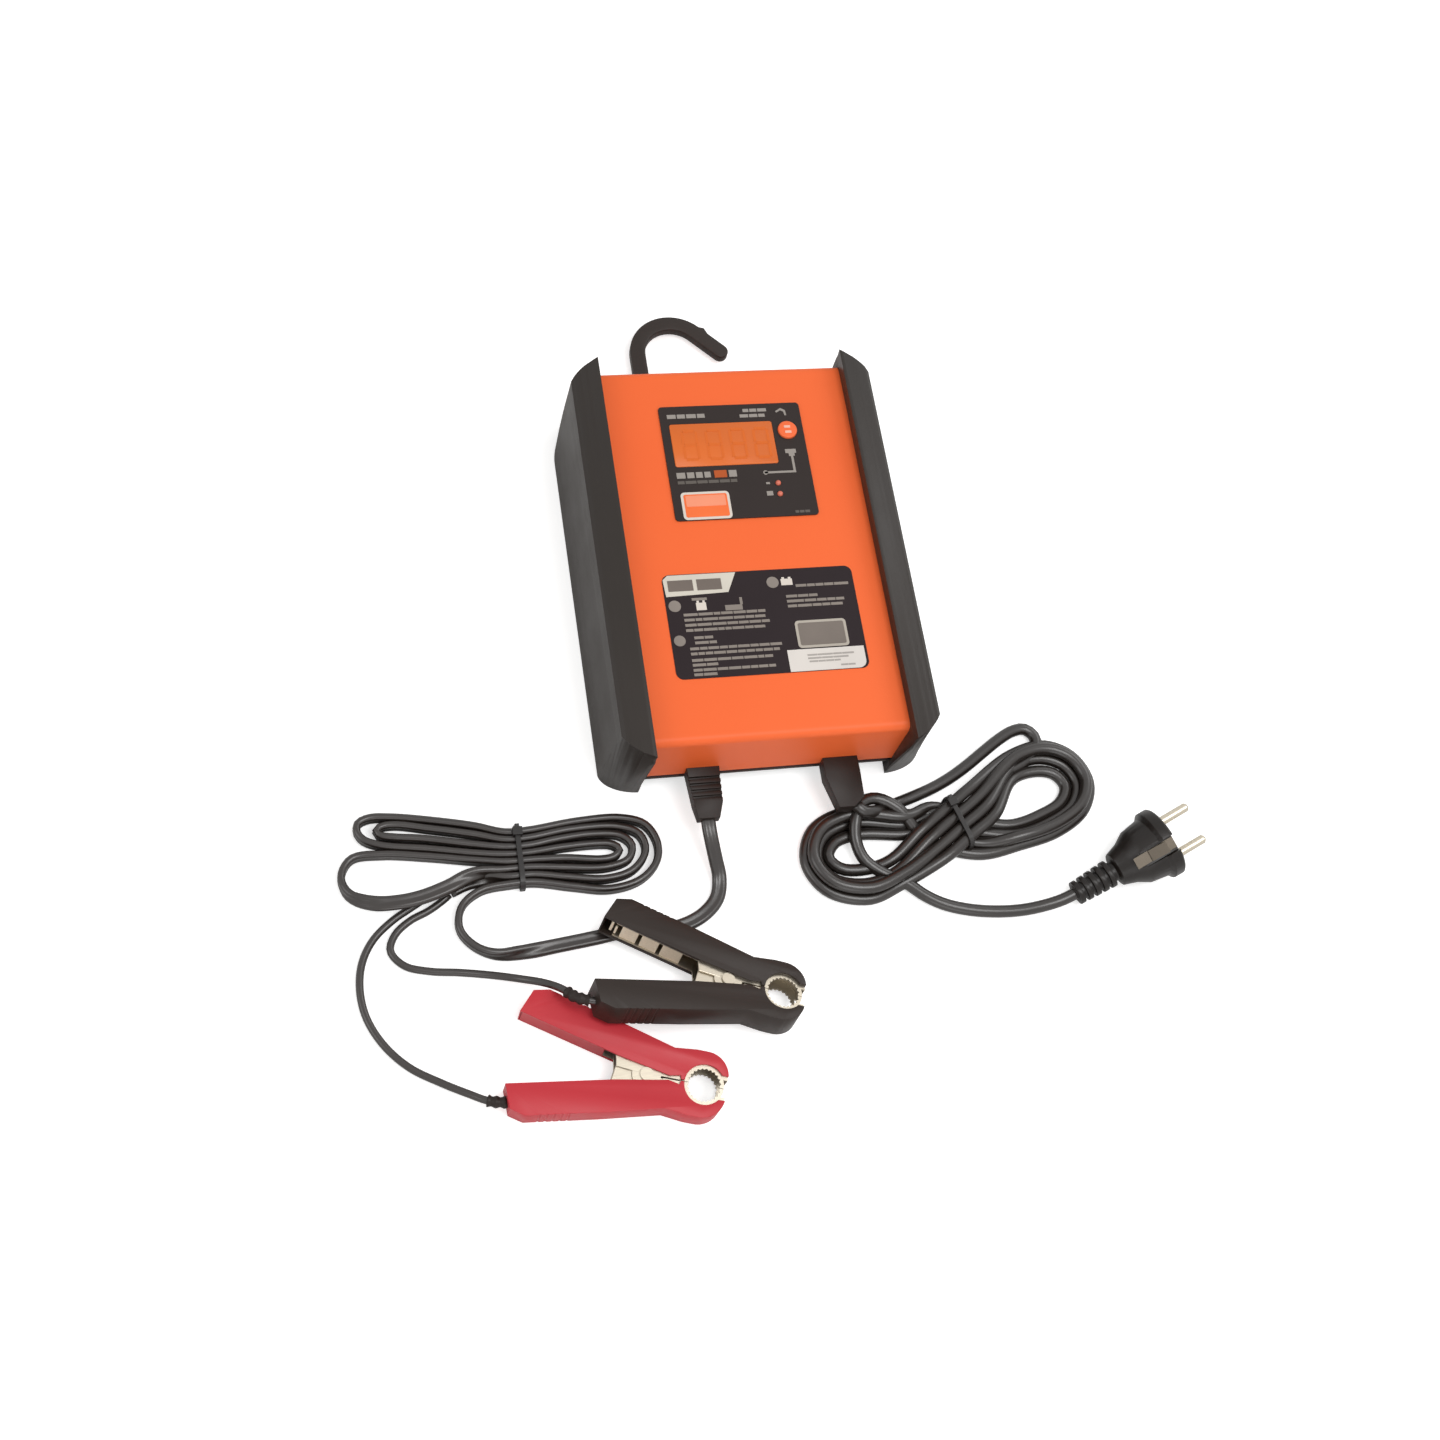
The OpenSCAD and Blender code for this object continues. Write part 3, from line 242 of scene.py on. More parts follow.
def mesh_piece(name, bm, smooth_faces=True, outwards=True):
    """Turns a built mesh, its faces outwards, into an object at the origin."""
    if outwards:
        bmesh.ops.recalc_face_normals(bm, faces=bm.faces)
    mesh = bpy.data.meshes.new(name)
    bm.to_mesh(mesh)
    bm.free()
    for face in mesh.polygons:
        face.use_smooth = smooth_faces
    made = bpy.data.objects.new(name, mesh)
    scene.collection.objects.link(made)
    return made


def fitted(made, material, body, *nodes):
    """Gives a piece its material, its body and the CAD nodes that it stands for."""
    made.data.materials.append(material)
    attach(made, body)
    if nodes:
        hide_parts(*nodes)
    return made


def ring_section(radius, sides):
    angles = [2 * pi * j / sides for j in range(sides)]
    return [(radius * cos(a), radius * sin(a)) for a in angles]


def joined(tree, out, shell, tint, soft, bump=None):
    """Links colour, roughness and bump to a shader, and the shader to the output."""
    for made, port, goal in ((tint, 2, "Base Color"), (soft, 0, "Roughness"), (bump, 0, "Normal")):
        if made:
            tree.links.new(made.outputs[port], shell.inputs[goal])
    tree.links.new(shell.outputs[0], out.inputs[0])


# Extruded PVC, satin from the die: fine lengthwise drag lines, a little dust in the grain
def extruded_pvc(name, colour, dust):
    made, tree, out = blank(name)
    shell = add(tree, "ShaderNodeBsdfPrincipled", IOR=1.53, Specular_IOR_Level=0.6, Coat_Weight=0.12,
                Coat_Roughness=0.28)
    place = add(tree, "ShaderNodeTexCoord")
    drag = add(tree, "ShaderNodeMapping", Vector=place.outputs["UV"], Scale=(28, 12, 1))
    lines = add(tree, "ShaderNodeTexNoise", Vector=drag.outputs[0], Scale=1.0, Detail=3.0)
    cloud = add(tree, "ShaderNodeTexNoise", Vector=place.outputs["Object"], Scale=60.0, Detail=4.0)
    tint = add(tree, "ShaderNodeMix", {"data_type": "RGBA"}, Factor=cloud.outputs[0],
               _6=paint(colour), _7=paint(dust))
    soft = add(tree, "ShaderNodeMapRange", Value=lines.outputs[0], To_Min=0.24, To_Max=0.38)
    grain = add(tree, "ShaderNodeTexNoise", Vector=place.outputs["Object"], Scale=2400.0, Detail=2.0)
    high = add(tree, "ShaderNodeMath", {"operation": "ADD"}, _0=lines.outputs[0], _1=grain.outputs[0])
    bump = add(tree, "ShaderNodeBump", Strength=0.12, Distance=0.0002, Height=high.outputs[0])
    joined(tree, out, shell, tint, soft, bump)
    return made


mains_points = mains_start + level(LEAD_LOW, (0.141, -0.1315), (0.126, -0.1385))
mains_points.append(tie_point(MAINS_TIE, radians(-12), 0.008, 0.0125, LEAD_LOW))
for turn, (left_share, right_share) in enumerate(((0, 1), (0.26, 0.5), (0.5, 0.26), (1, 0))):
    over = -0.0094 + 0.0063 * turn
    under = 0.0062 - 0.0062 * turn
    mains_points += between(left_outer, left_inner, left_share, LEAD_HIGH if turn == 1 else LEAD_LOW)
    mains_points += [tie_point(MAINS_TIE, OVER_TURN, ahead, over, LEAD_HIGH) for ahead in (-0.019, 0, 0.018)]
    mains_points += between(right_outer, right_inner, right_share, LEAD_HIGH if turn == 2 else LEAD_LOW)
    mains_points += [tie_point(MAINS_TIE, UNDER_TURN, ahead, under, LEAD_LOW) for ahead in (0.014, -0.014)]
mains_points += [(0.066, -0.1535, 0.0105), (0.0555, -0.1475, 0.0115), (0.0475, -0.149, 0.012),
                 (0.0425, -0.158, 0.011), (0.0415, -0.168, 0.0075), (0.0445, -0.178, 0.006),
                 (0.0535, -0.1855, 0.0042)]
mains_path = smooth(mains_points + tail, MAINS_STEP)
mains_pvc = extruded_pvc("black_pvc_mains_sheath", "#1B1613", "#28221E")
mains_cord = fitted(sweep("mains_cord", mains_path, ring_section(MAINS_D / 2, 16)), mains_pvc,
                    "housing", "mains_lead", "mains_hank", "mains_tail")

# Output cord: twin flat PVC lead. It lies flat from its boot, turns on edge into a hank
# of eight runs held by a tie, and splits into the two single leads of the clamps.
TWIN_T = 0.0038
TWIN_STEP = 0.0024
FLAT_Z = 0.0021
RUN_Z = 0.0043
RUN_GAP = 0.0039
FIRST_RUN_Y = -0.1745
LATE_POINT = 60
DC_TIE_X = -0.131
CORE_SIDES = 8
WAIST_ANGLE = 128


def run_y(slot):
    return FIRST_RUN_Y + RUN_GAP * slot


def through_tie(slot, heading):
    """Two points that take a run of the hank through its tie."""
    ends = [(DC_TIE_X + x, run_y(slot), RUN_Z) for x in (-0.006, 0.006)]
    return ends if heading > 0 else ends[::-1]


twin_points = [(-0.0356, -0.152, 0.0168), (-0.0356, -0.158, 0.0162), (-0.0346, -0.165, 0.013),
               (-0.033, -0.172, 0.008), (-0.0316, -0.180, 0.0036)]
twin_points += level(FLAT_Z, (-0.034, -0.190), (-0.042, -0.198), (-0.054, -0.203), (-0.068, -0.204),
                     (-0.082, -0.203), (-0.098, -0.205), (-0.116, -0.207))
twin_points += [(-0.134, -0.209, 0.0028), (-0.148, -0.209, 0.0038)]
on_edge_from = len(twin_points)
twin_points += level(RUN_Z, (-0.158, -0.204), (-0.164, -0.195), (-0.162, -0.184), (-0.152, -0.1765))
twin_points += through_tie(0, 1)
twin_points += level(RUN_Z, (-0.106, -0.1785), (-0.088, -0.1815), (-0.072, -0.178), (-0.0625, -0.169),
                     (-0.061, -0.159), (-0.066, -0.149), (-0.078, -0.1445), (-0.100, -0.1445))
twin_points += through_tie(7, -1)
twin_points += level(RUN_Z, (-0.152, -0.1425), (-0.172, -0.138), (-0.192, -0.1345), (-0.203, -0.134),
                     (-0.2085, -0.1365), (-0.2092, -0.1405), (-0.2065, -0.145), (-0.198, -0.1488),
                     (-0.176, -0.1525), (-0.152, -0.157))
twin_points += through_tie(4, 1)
twin_points += level(RUN_Z, (-0.108, -0.1575), (-0.090, -0.1573), (-0.0838, -0.1583), (-0.0805, -0.1615),
                     (-0.0838, -0.1648), (-0.090, -0.1657), (-0.108, -0.1635))
twin_points += through_tie(3, -1)
twin_points += level(RUN_Z, (-0.152, -0.1608), (-0.176, -0.1565), (-0.198, -0.1535), (-0.213, -0.1545),
                     (-0.2185, -0.163))
twin_points += [(-0.2155, -0.173, 0.0055), (-0.205, -0.1785, 0.007)]
loop_flat_from = len(twin_points) - 1
twin_points += [(-0.193, -0.1795, 0.0078), (-0.181, -0.178, 0.0078), (-0.168, -0.174, 0.0078),
                (-0.155, -0.1685, 0.007)]
loop_flat_to = len(twin_points) - 1
twin_points += through_tie(2, 1)
twin_points += level(RUN_Z, (-0.108, -0.1685), (-0.088, -0.170), (-0.0765, -0.1665), (-0.074, -0.1595),
                     (-0.079, -0.154), (-0.092, -0.152), (-0.110, -0.153))
twin_points += through_tie(5, -1)
twin_points += level(RUN_Z, (-0.154, -0.1520), (-0.178, -0.1470), (-0.191, -0.1452), (-0.1975, -0.1438),
                     (-0.2000, -0.1414), (-0.1975, -0.1391), (-0.191, -0.1385), (-0.174, -0.1420),
                     (-0.152, -0.1470))
twin_points += through_tie(6, 1)
twin_points += level(RUN_Z, (-0.104, -0.1485), (-0.080, -0.149), (-0.0695, -0.154), (-0.0675, -0.163),
                     (-0.075, -0.1725), (-0.089, -0.176), (-0.108, -0.1735))
twin_points += through_tie(1, -1)
exit_flat_from = len(twin_points)
twin_points += [(-0.148, -0.170, 0.0034), (-0.158, -0.171, 0.0022), (-0.1665, -0.1742, 0.0022)]
twin_path = smooth(twin_points, TWIN_STEP)


def near(path, points, index):
    """Share of a path at which it passes one of its points; late ones lie in its second half."""
    goal = Vector(points[index])
    first = 0 if index < LATE_POINT else len(path) // 2
    hit = min(range(len(path)), key=lambda i: (path[i] - goal).length + (0 if i >= first else 1))
    return hit / (len(path) - 1)


turns = [(0.0, 0.0), (near(twin_path, twin_points, on_edge_from - 3), 0.0),
         (near(twin_path, twin_points, on_edge_from), pi / 2),
         (near(twin_path, twin_points, loop_flat_from - 2), pi / 2),
         (near(twin_path, twin_points, loop_flat_from + 1), pi),
         (near(twin_path, twin_points, loop_flat_to - 1), pi),
         (near(twin_path, twin_points, loop_flat_to + 1), pi / 2),
         (near(twin_path, twin_points, exit_flat_from - 1), pi / 2),
         (near(twin_path, twin_points, exit_flat_from + 1), 0.0), (1.0, 0.0)]


def twin_roll(share):
    """Turn of the flat lead about its own line: flat, on edge, and flat again."""
    for (a, ra), (b, rb) in zip(turns, turns[1:]):
        if share <= b:
            t = (share - a) / (b - a) if b > a else 1.0
            return ra + (rb - ra) * t * t * (3 - 2 * t)
    return turns[-1][1]


# Two round cores side by side, joined at a narrow waist
twin_section = []
for side in (1, -1):
    for j in range(CORE_SIDES + 1):
        a = radians(WAIST_ANGLE * (2 * j / CORE_SIDES - 1)) + (pi if side < 0 else 0)
        twin_section.append((side * TWIN_T / 2 + TWIN_T / 2 * cos(a), TWIN_T / 2 * sin(a)))
twin_pvc = extruded_pvc("black_pvc_twin_sheath", "#211B18", "#2F2824")
output_cord = fitted(sweep("output_cord", twin_path, twin_section, twin_roll), twin_pvc,
                     "housing", "dc_lead", "dc_hank")

# Single leads: the two cores of the output cord, parted, each in its own sheath, run to
# the lower grip of a clamp and end in its steel.
black_route = [(-0.1672, -0.1762, 0.0022)]
black_route += level(FLAT_Z, (-0.170, -0.1785), (-0.178, -0.1835), (-0.187, -0.1875), (-0.195, -0.194),
                     (-0.198, -0.202), (-0.192, -0.210), (-0.180, -0.214), (-0.166, -0.216), (-0.150, -0.219))
black_route += [(-0.137, -0.223, 0.005), (-0.127, -0.228, 0.012), (-0.120, -0.234, 0.020),
                (-0.114, -0.2406, 0.0256), (-0.104, -0.2438, 0.026)]
red_route = [(-0.1690, -0.1730, 0.0022)]
red_route += level(FLAT_Z, (-0.176, -0.1755), (-0.186, -0.181), (-0.196, -0.187), (-0.206, -0.196),
                   (-0.212, -0.207), (-0.214, -0.220), (-0.212, -0.234), (-0.205, -0.248), (-0.194, -0.260))
red_route += [(-0.180, -0.269, 0.0026), (-0.168, -0.276, 0.0046), (-0.159, -0.281, 0.007),
              (-0.151, -0.2828, 0.0079), (-0.143, -0.2836, 0.0079)]
black_path = smooth(black_route, TWIN_STEP)
red_path = smooth(red_route, TWIN_STEP)
black_cord = sweep("black_cord", black_path, ring_section(TWIN_T / 2, 14))
red_cord = sweep("red_cord", red_path, ring_section(TWIN_T / 2, 14))
fitted(black_cord, twin_pvc, "housing", "black_lead")
fitted(red_cord, twin_pvc, "housing", "red_lead")

# Cable ties: black nylon straps round the waist of each bundle, pulled tight, with the
# square head on one side and the cut end of the strap standing out of it.
TIE_T = 0.0012
TIE_W = 0.0026
TIE_STEP = 0.0015
TIE_HEAD = (0.0042, 0.0048, 0.0032)
TIE_END = (0.0022, TIE_W * 0.9, TIE_T)


def strap(name, middle, turn, half, top, head_side):
    """A tie: its flat strap round a bundle, its head and its tail."""
    c, s = cos(turn), sin(turn)
    rise = ((half, 0.0012), (half + 0.0006, 0.004), (half + 0.0003, top - 0.0022),
            (half - 0.002, top + 0.0002))
    loop = [*rise, (0, top + 0.0006), *((-x, z) for x, z in rise[::-1]), (0, 0.0009)]
    loop = [Vector((middle[0] + x * c, middle[1] + x * s, z)) for x, z in loop]
    path = smooth(loop + [loop[0]], TIE_STEP)[:-1]
    bm = bmesh.new()
    rings = []
    wide = Vector((-s, c, 0)) * TIE_W / 2
    hub = Vector((middle[0], middle[1], top / 2))
    for p in path:
        away = (p - hub).normalized() * TIE_T / 2
        corners = (p - away - wide, p + away - wide, p + away + wide, p - away + wide)
        rings.append([bm.verts.new(q) for q in corners])
    for i, ring in enumerate(rings):
        other = rings[(i + 1) % len(rings)]
        for j in range(4):
            bm.faces.new((ring[j], ring[(j + 1) % 4], other[(j + 1) % 4], other[j]))
    aside = head_side * (half - 0.0035)
    at = Vector((middle[0] + aside * c, middle[1] + aside * s, top + 0.0009))
    beyond = at + Vector((head_side * c, head_side * s, 0.1)) * 0.0028
    for size, spot, lean in ((TIE_HEAD, at, 0.0), (TIE_END, beyond, -0.1)):
        tilt = Matrix.Rotation(turn, 4, "Z") @ Matrix.Rotation(lean * head_side, 4, "Y")
        place = Matrix.Translation(spot) @ tilt @ Matrix.Diagonal((*size, 1))
        bmesh.ops.create_cube(bm, size=1, matrix=place)
    made = mesh_piece(name, bm, False)
    edge = made.modifiers.new("eased", "BEVEL")
    edge.width = 0.00025
    edge.segments = 2
    return made


# Injection moulded plastic: fine spark texture from the mould, colour a little uneven
def moulded(name, colour, rough, grain_mm=0.35, grain=0.25, shade=0.12, gloss=0.5, coat=0.0):
    made, tree, out = blank(name)
    shell = add(tree, "ShaderNodeBsdfPrincipled", IOR=1.5, Specular_IOR_Level=gloss, Coat_Weight=coat,
                Coat_Roughness=0.15)
    place = add(tree, "ShaderNodeTexCoord")
    cloud = add(tree, "ShaderNodeTexNoise", Vector=place.outputs["Object"], Scale=35.0, Detail=5.0)
    spark = add(tree, "ShaderNodeTexNoise", Vector=place.outputs["Object"], Scale=1000 / grain_mm, Detail=3.0)
    base = paint(colour)
    deep = [c * (1 - shade) for c in base[:3]] + [1.0]
    pale = [min(1.0, c * (1 + shade)) for c in base[:3]] + [1.0]
    tint = add(tree, "ShaderNodeMix", {"data_type": "RGBA"}, Factor=cloud.outputs[0], _6=deep, _7=pale)
    soft = add(tree, "ShaderNodeMapRange", Value=cloud.outputs[0], From_Min=0.3, From_Max=0.7,
               To_Min=rough - 0.04, To_Max=rough + 0.05)
    bump = add(tree, "ShaderNodeBump", Strength=grain, Distance=0.0001, Height=spark.outputs[0])
    joined(tree, out, shell, tint, soft, bump)
    return made


tie_nylon = moulded("black_nylon_tie", "#1F1C1B", 0.38, 0.5, 0.1)
mains_tie = strap("mains_tie", MAINS_TIE, MAINS_TIE_TURN - pi / 2, 0.0136, 0.0126, -1)
output_tie = strap("output_tie", (DC_TIE_X, (run_y(0) + run_y(7)) / 2), pi / 2, 0.0158, 0.0086, 1)
for tie in (mains_tie, output_tie):
    fitted(tie, tie_nylon, "housing", "cable_ties")

# Front shell: one folded steel sheet, powder coated orange, with its flanges turned in
# at the back to take the black coated back plate.

# Powder coat: orange peel of about 1.5 mm over a satin film, slightly uneven in thickness
powder, tree, out = blank("orange_powder_coat_on_steel")
coat = add(tree, "ShaderNodeBsdfPrincipled", IOR=1.5, Specular_IOR_Level=0.3)
place = add(tree, "ShaderNodeTexCoord")
cloud = add(tree, "ShaderNodeTexNoise", Vector=place.outputs["Object"], Scale=9.0, Detail=3.0)
peel = add(tree, "ShaderNodeTexNoise", Vector=place.outputs["Object"], Scale=650.0, Detail=2.0)
speck = add(tree, "ShaderNodeTexNoise", Vector=place.outputs["Object"], Scale=2600.0, Detail=2.0)
tint = add(tree, "ShaderNodeMix", {"data_type": "RGBA"}, Factor=cloud.outputs[0],
           _6=paint("#F4672F"), _7=paint("#F87039"))
soft = add(tree, "ShaderNodeMapRange", Value=speck.outputs[0], To_Min=0.42, To_Max=0.52)
bump = add(tree, "ShaderNodeBump", Strength=0.14, Distance=0.0003, Height=peel.outputs[0])
joined(tree, out, coat, tint, soft, bump)


def finish(material, *nodes):
    """Gives CAD pieces that are kept as they are their material."""
    for node in nodes:
        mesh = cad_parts[node].data
        mesh.materials.clear()
        mesh.materials.append(material)


finish(powder, "front_shell")
finish(moulded("black_coated_back_steel", "#33302E", 0.55, 0.8, 0.2), "back_plate")

# End caps: moulded in glass filled nylon, with a fine matt spark texture; each slides
# over an end of the shell and is held by two screws from the back.
cap_black = moulded("textured_nylon_end_cap", "#2B2521", 0.42, 0.45, 0.3, 0.1, 0.32)
BODY_Y = -0.019925
HALF_W = 0.066
HALF_L = 0.1075
FACE_Z = 0.056
CORNER_R = 0.034
CORNER_X = HALF_W + 0.0198 - CORNER_R
CORNER_Y = HALF_L + 0.0124 - CORNER_R
SKIN = 0.00005
# The ends: a rounded heel at the floor, a rim that flares up to the face, and a lip above it
HEEL_X, HEEL_Y = 0.064, 0.0976
HEEL_W, HEEL_L = 0.0219, 0.012
RIM_LOW, RIM_RISE = 0.003, 0.006
SLICE = 0.002
LIP_Z, LIP_X = 0.0625, 0.0745
FRONT_LIP, BACK_LIP = 0.0092, 0.0046
LIP_SLOPE = 0.56
BACK_TAPER = 0.84


def eased(node, name, body, width_mm, material, steps=2, angle=28, shape=None):
    """Copy of a CAD piece with its sharp edges rounded; it stands for that piece."""
    bm = bmesh.new()
    bm.from_mesh(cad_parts[node].data)
    bmesh.ops.remove_doubles(bm, verts=bm.verts, dist=1e-6)
    bmesh.ops.dissolve_limit(bm, angle_limit=radians(1), verts=bm.verts, edges=bm.edges)
    if shape:
        shape(bm)
    made = fitted(mesh_piece(name, bm, outwards=False), material, body, node)
    edge = made.modifiers.new("edge", "BEVEL")
    edge.width = width_mm / 1000
    edge.segments = steps
    edge.limit_method = "ANGLE"
    edge.angle_limit = radians(angle)
    edge.harden_normals = True
    edge.miter_outer = "MITER_ARC"


def full_ends(bm):
    """Shapes a cap's ends: round corners down to the floor, and a pointed lip."""
    side = 1 if sum(v.co.x for v in bm.verts) > 0 else -1
    for place in [HALF_W - SKIN] + [HALF_W + SLICE + SLICE * step for step in range(9)]:
        cut = bmesh.ops.bisect_plane(bm, geom=bm.verts[:] + bm.edges[:] + bm.faces[:],
                                     clear_inner=place < HALF_W, plane_co=(side * place, 0, 0),
                                     plane_no=(side, 0, 0))
        if place < HALF_W:
            bmesh.ops.holes_fill(bm, edges=[e for e in cut["geom_cut"] if isinstance(e, bmesh.types.BMEdge)])
    for v in bm.verts:
        front = v.co.y < BODY_Y
        x, y, z = max(0, abs(v.co.x) - CORNER_X), abs(v.co.y - BODY_Y) - CORNER_Y, v.co.z
        arc = sqrt(max(0, CORNER_R ** 2 - x * x))
        rim = HALF_L + RIM_LOW + RIM_RISE * min(1, z / FACE_Z) - CORNER_Y
        if y <= 0 or arc < 0.0005:
            continue
        deep = max(0.0, 1 - z / FACE_Z)
        round_x = min(1, max(0, x + CORNER_X - HEEL_X) / HEEL_W)
        heel = HEEL_Y - CORNER_Y + HEEL_L * sqrt(1 - round_x ** 2)
        if front:
            wanted = deep * heel + (1 - deep) * min(arc, rim)
        else:
            wanted = deep * min(arc, rim) + (1 - deep) * BACK_TAPER * arc
        y *= wanted / min(arc, rim)
        if z > LIP_Z and abs(v.co.x) < LIP_X:
            lip = FRONT_LIP if front else BACK_LIP
            y = HALF_L + lip - CORNER_Y - LIP_SLOPE * (abs(v.co.x) - HALF_W)
        v.co.y = BODY_Y + (-1 if front else 1) * (y + CORNER_Y)


eased("left_end_cap", "left_cap_moulding", "housing", 0.7, cap_black, shape=full_ends)
eased("right_end_cap", "right_cap_moulding", "housing", 0.7, cap_black, shape=full_ends)

# Screws: zinc plated steel pan heads with a cross recess. One tree sets the same screw
# on every hole of the back plate, the caps and the main board.
zinc, tree, out = blank("zinc_plated_screw_steel")
metal = add(tree, "ShaderNodeBsdfPrincipled", Metallic=1.0)
place = add(tree, "ShaderNodeTexCoord")
bloom = add(tree, "ShaderNodeTexNoise", Vector=place.outputs["Object"], Scale=420.0, Detail=3.0)
tint = add(tree, "ShaderNodeMix", {"data_type": "RGBA"}, Factor=bloom.outputs[0],
           _6=paint("#9FA09C"), _7=paint("#C4C4BE"))
soft = add(tree, "ShaderNodeMapRange", Value=bloom.outputs[0], To_Min=0.28, To_Max=0.42)
joined(tree, out, metal, tint, soft)
HEAD_RIM = 0.72
SLOT_L, SLOT_W = 1.1, 0.28


def screw_tree(name):
    """Geometry nodes: a pan head screw with a cross recess on each point, head at the point's side."""
    tree = bpy.data.node_groups.new(name, "GeometryNodeTree")
    tree.interface.new_socket("Points", in_out="INPUT", socket_type="NodeSocketGeometry")
    for label, value in (("Head radius", 0.0028), ("Head height", 0.002), ("Shank radius", 0.0015),
                         ("Shank length", 0.006), ("Facing", -1.0)):
        tree.interface.new_socket(label, in_out="INPUT", socket_type="NodeSocketFloat").default_value = value
    tree.interface.new_socket("Material", in_out="INPUT", socket_type="NodeSocketMaterial")
    tree.interface.new_socket("Geometry", in_out="OUTPUT", socket_type="NodeSocketGeometry")
    points, head_r, head_h, shank_r, shank_l, facing, metal = tree.nodes.new("NodeGroupInput").outputs[:7]
    times = {"operation": "MULTIPLY"}

    def raised(mesh, height):
        """A mesh moved along the screw's axis."""
        at = add(tree, "ShaderNodeCombineXYZ", Z=height)
        return add(tree, "GeometryNodeTransform", Geometry=mesh.outputs["Mesh"], Translation=at.outputs[0])

    half_head = add(tree, "ShaderNodeMath", times, _0=head_h, _1=0.5).outputs[0]
    half_shank = add(tree, "ShaderNodeMath", times, _0=shank_l, _1=0.5).outputs[0]
    low = add(tree, "GeometryNodeMeshCylinder", Vertices=28, Radius=head_r, Depth=half_head)
    low = raised(low, add(tree, "ShaderNodeMath", times, _0=head_h, _1=0.25).outputs[0])
    rim = add(tree, "ShaderNodeMath", times, _0=head_r, _1=HEAD_RIM).outputs[0]
    dome = raised(add(tree, "GeometryNodeMeshCone", Vertices=28, Radius_Bottom=head_r, Radius_Top=rim,
                      Depth=half_head), half_head)
    slots = []
    for x, y in ((SLOT_L, SLOT_W), (SLOT_W, SLOT_L)):
        wide = add(tree, "ShaderNodeMath", times, _0=head_r, _1=x).outputs[0]
        deep = add(tree, "ShaderNodeMath", times, _0=head_r, _1=y).outputs[0]
        size = add(tree, "ShaderNodeCombineXYZ", X=wide, Y=deep, Z=head_h)
        slots.append(raised(add(tree, "GeometryNodeMeshCube", Size=size.outputs[0]), head_h))
    cut = add(tree, "GeometryNodeMeshBoolean", {"operation": "DIFFERENCE"}, _0=dome.outputs[0])
    for slot in slots:
        tree.links.new(slot.outputs[0], cut.inputs[1])
    shank = add(tree, "GeometryNodeMeshCylinder", Vertices=20, Radius=shank_r, Depth=shank_l)
    shank = raised(shank, add(tree, "ShaderNodeMath", times, _0=half_shank, _1=-1.0).outputs[0])
    join = tree.nodes.new("GeometryNodeJoinGeometry")
    for part in (low, cut, shank):
        tree.links.new(part.outputs[0], join.inputs[0])
    face = add(tree, "ShaderNodeMath", {"operation": "MULTIPLY_ADD"}, _0=facing, _1=-pi / 2,
               _2=pi / 2).outputs[0]
    turn = add(tree, "ShaderNodeCombineXYZ", X=face)
    put = add(tree, "GeometryNodeInstanceOnPoints", Points=points, Instance=join.outputs[0],
              Rotation=turn.outputs[0])
    real = add(tree, "GeometryNodeRealizeInstances", Geometry=put.outputs[0])
    dressed = add(tree, "GeometryNodeSetMaterial", Geometry=real.outputs[0], Material=metal)
    tree.links.new(dressed.outputs[0], tree.nodes.new("NodeGroupOutput").inputs[0])
    return tree


screws = screw_tree("pan_head_screws")


def set_screws(name, node, head_z, facing, length):
    """Screws on the axes of a CAD node's own screws, as one plain mesh."""
    bm = bmesh.new()
    bm.from_mesh(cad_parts[node].data)
    bmesh.ops.remove_doubles(bm, verts=bm.verts, dist=1e-6)
    spots, taken = [], set()
    for first in bm.verts:
        if first in taken:
            continue
        taken.add(first)
        heap, group = [first], []
        while heap:
            v = heap.pop()
            group.append(v.co.copy())
            fresh = {e.other_vert(v) for e in v.link_edges} - taken
            taken |= fresh
            heap += fresh
        xs, ys = [c.x for c in group], [c.y for c in group]
        spots.append(((min(xs) + max(xs)) / 2, (min(ys) + max(ys)) / 2, head_z))
    bm.free()
    seeds = bpy.data.meshes.new(name + "_seeds")
    seeds.from_pydata(spots, [], [])
    carrier = bpy.data.objects.new(name + "_seeds", seeds)
    scene.collection.objects.link(carrier)
    mod = carrier.modifiers.new("screws", "NODES")
    mod.node_group = screws
    sockets = {s.name: s.identifier for s in screws.interface.items_tree}
    mod[sockets["Shank length"]] = length
    mod[sockets["Facing"]] = facing
    mod[sockets["Material"]] = zinc
    built = bpy.data.meshes.new_from_object(carrier.evaluated_get(bpy.context.evaluated_depsgraph_get()))
    bpy.data.objects.remove(carrier)
    made = bpy.data.objects.new(name, built)
    scene.collection.objects.link(made)
    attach(made, "housing")
    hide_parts(node)


BACK_Z = 0.012
BOARD_TOP = 0.0216
set_screws("back_plate_screws", "back_screws", BACK_Z, -1.0, 0.006)
set_screws("end_cap_screws", "cap_screws", BACK_Z, -1.0, 0.012)
set_screws("main_board_screws", "board_screws", BOARD_TOP, 1.0, 0.0073)

# Control panel: printed polyester film on the face, with an amber window, a round
# orange key and two status lamps. The print is plain bars and fields.
PANEL_Z = 0.0568
PRINT_T = 0.00012
KEY_SIDES = 48
BAR_GAP = 0.28
draw = random.Random(4)

film = moulded("dark_polyester_panel_film", "#2E2624", 0.45, 0.6, 0.1, 0.06, 0.2)
finish(film, "control_panel")
eased("display_window", "amber_window_lens", "housing", 0.15,
      moulded("amber_acrylic_window", "#E07030", 0.35, 3.0, 0.01, 0.02, 0.25), 1)


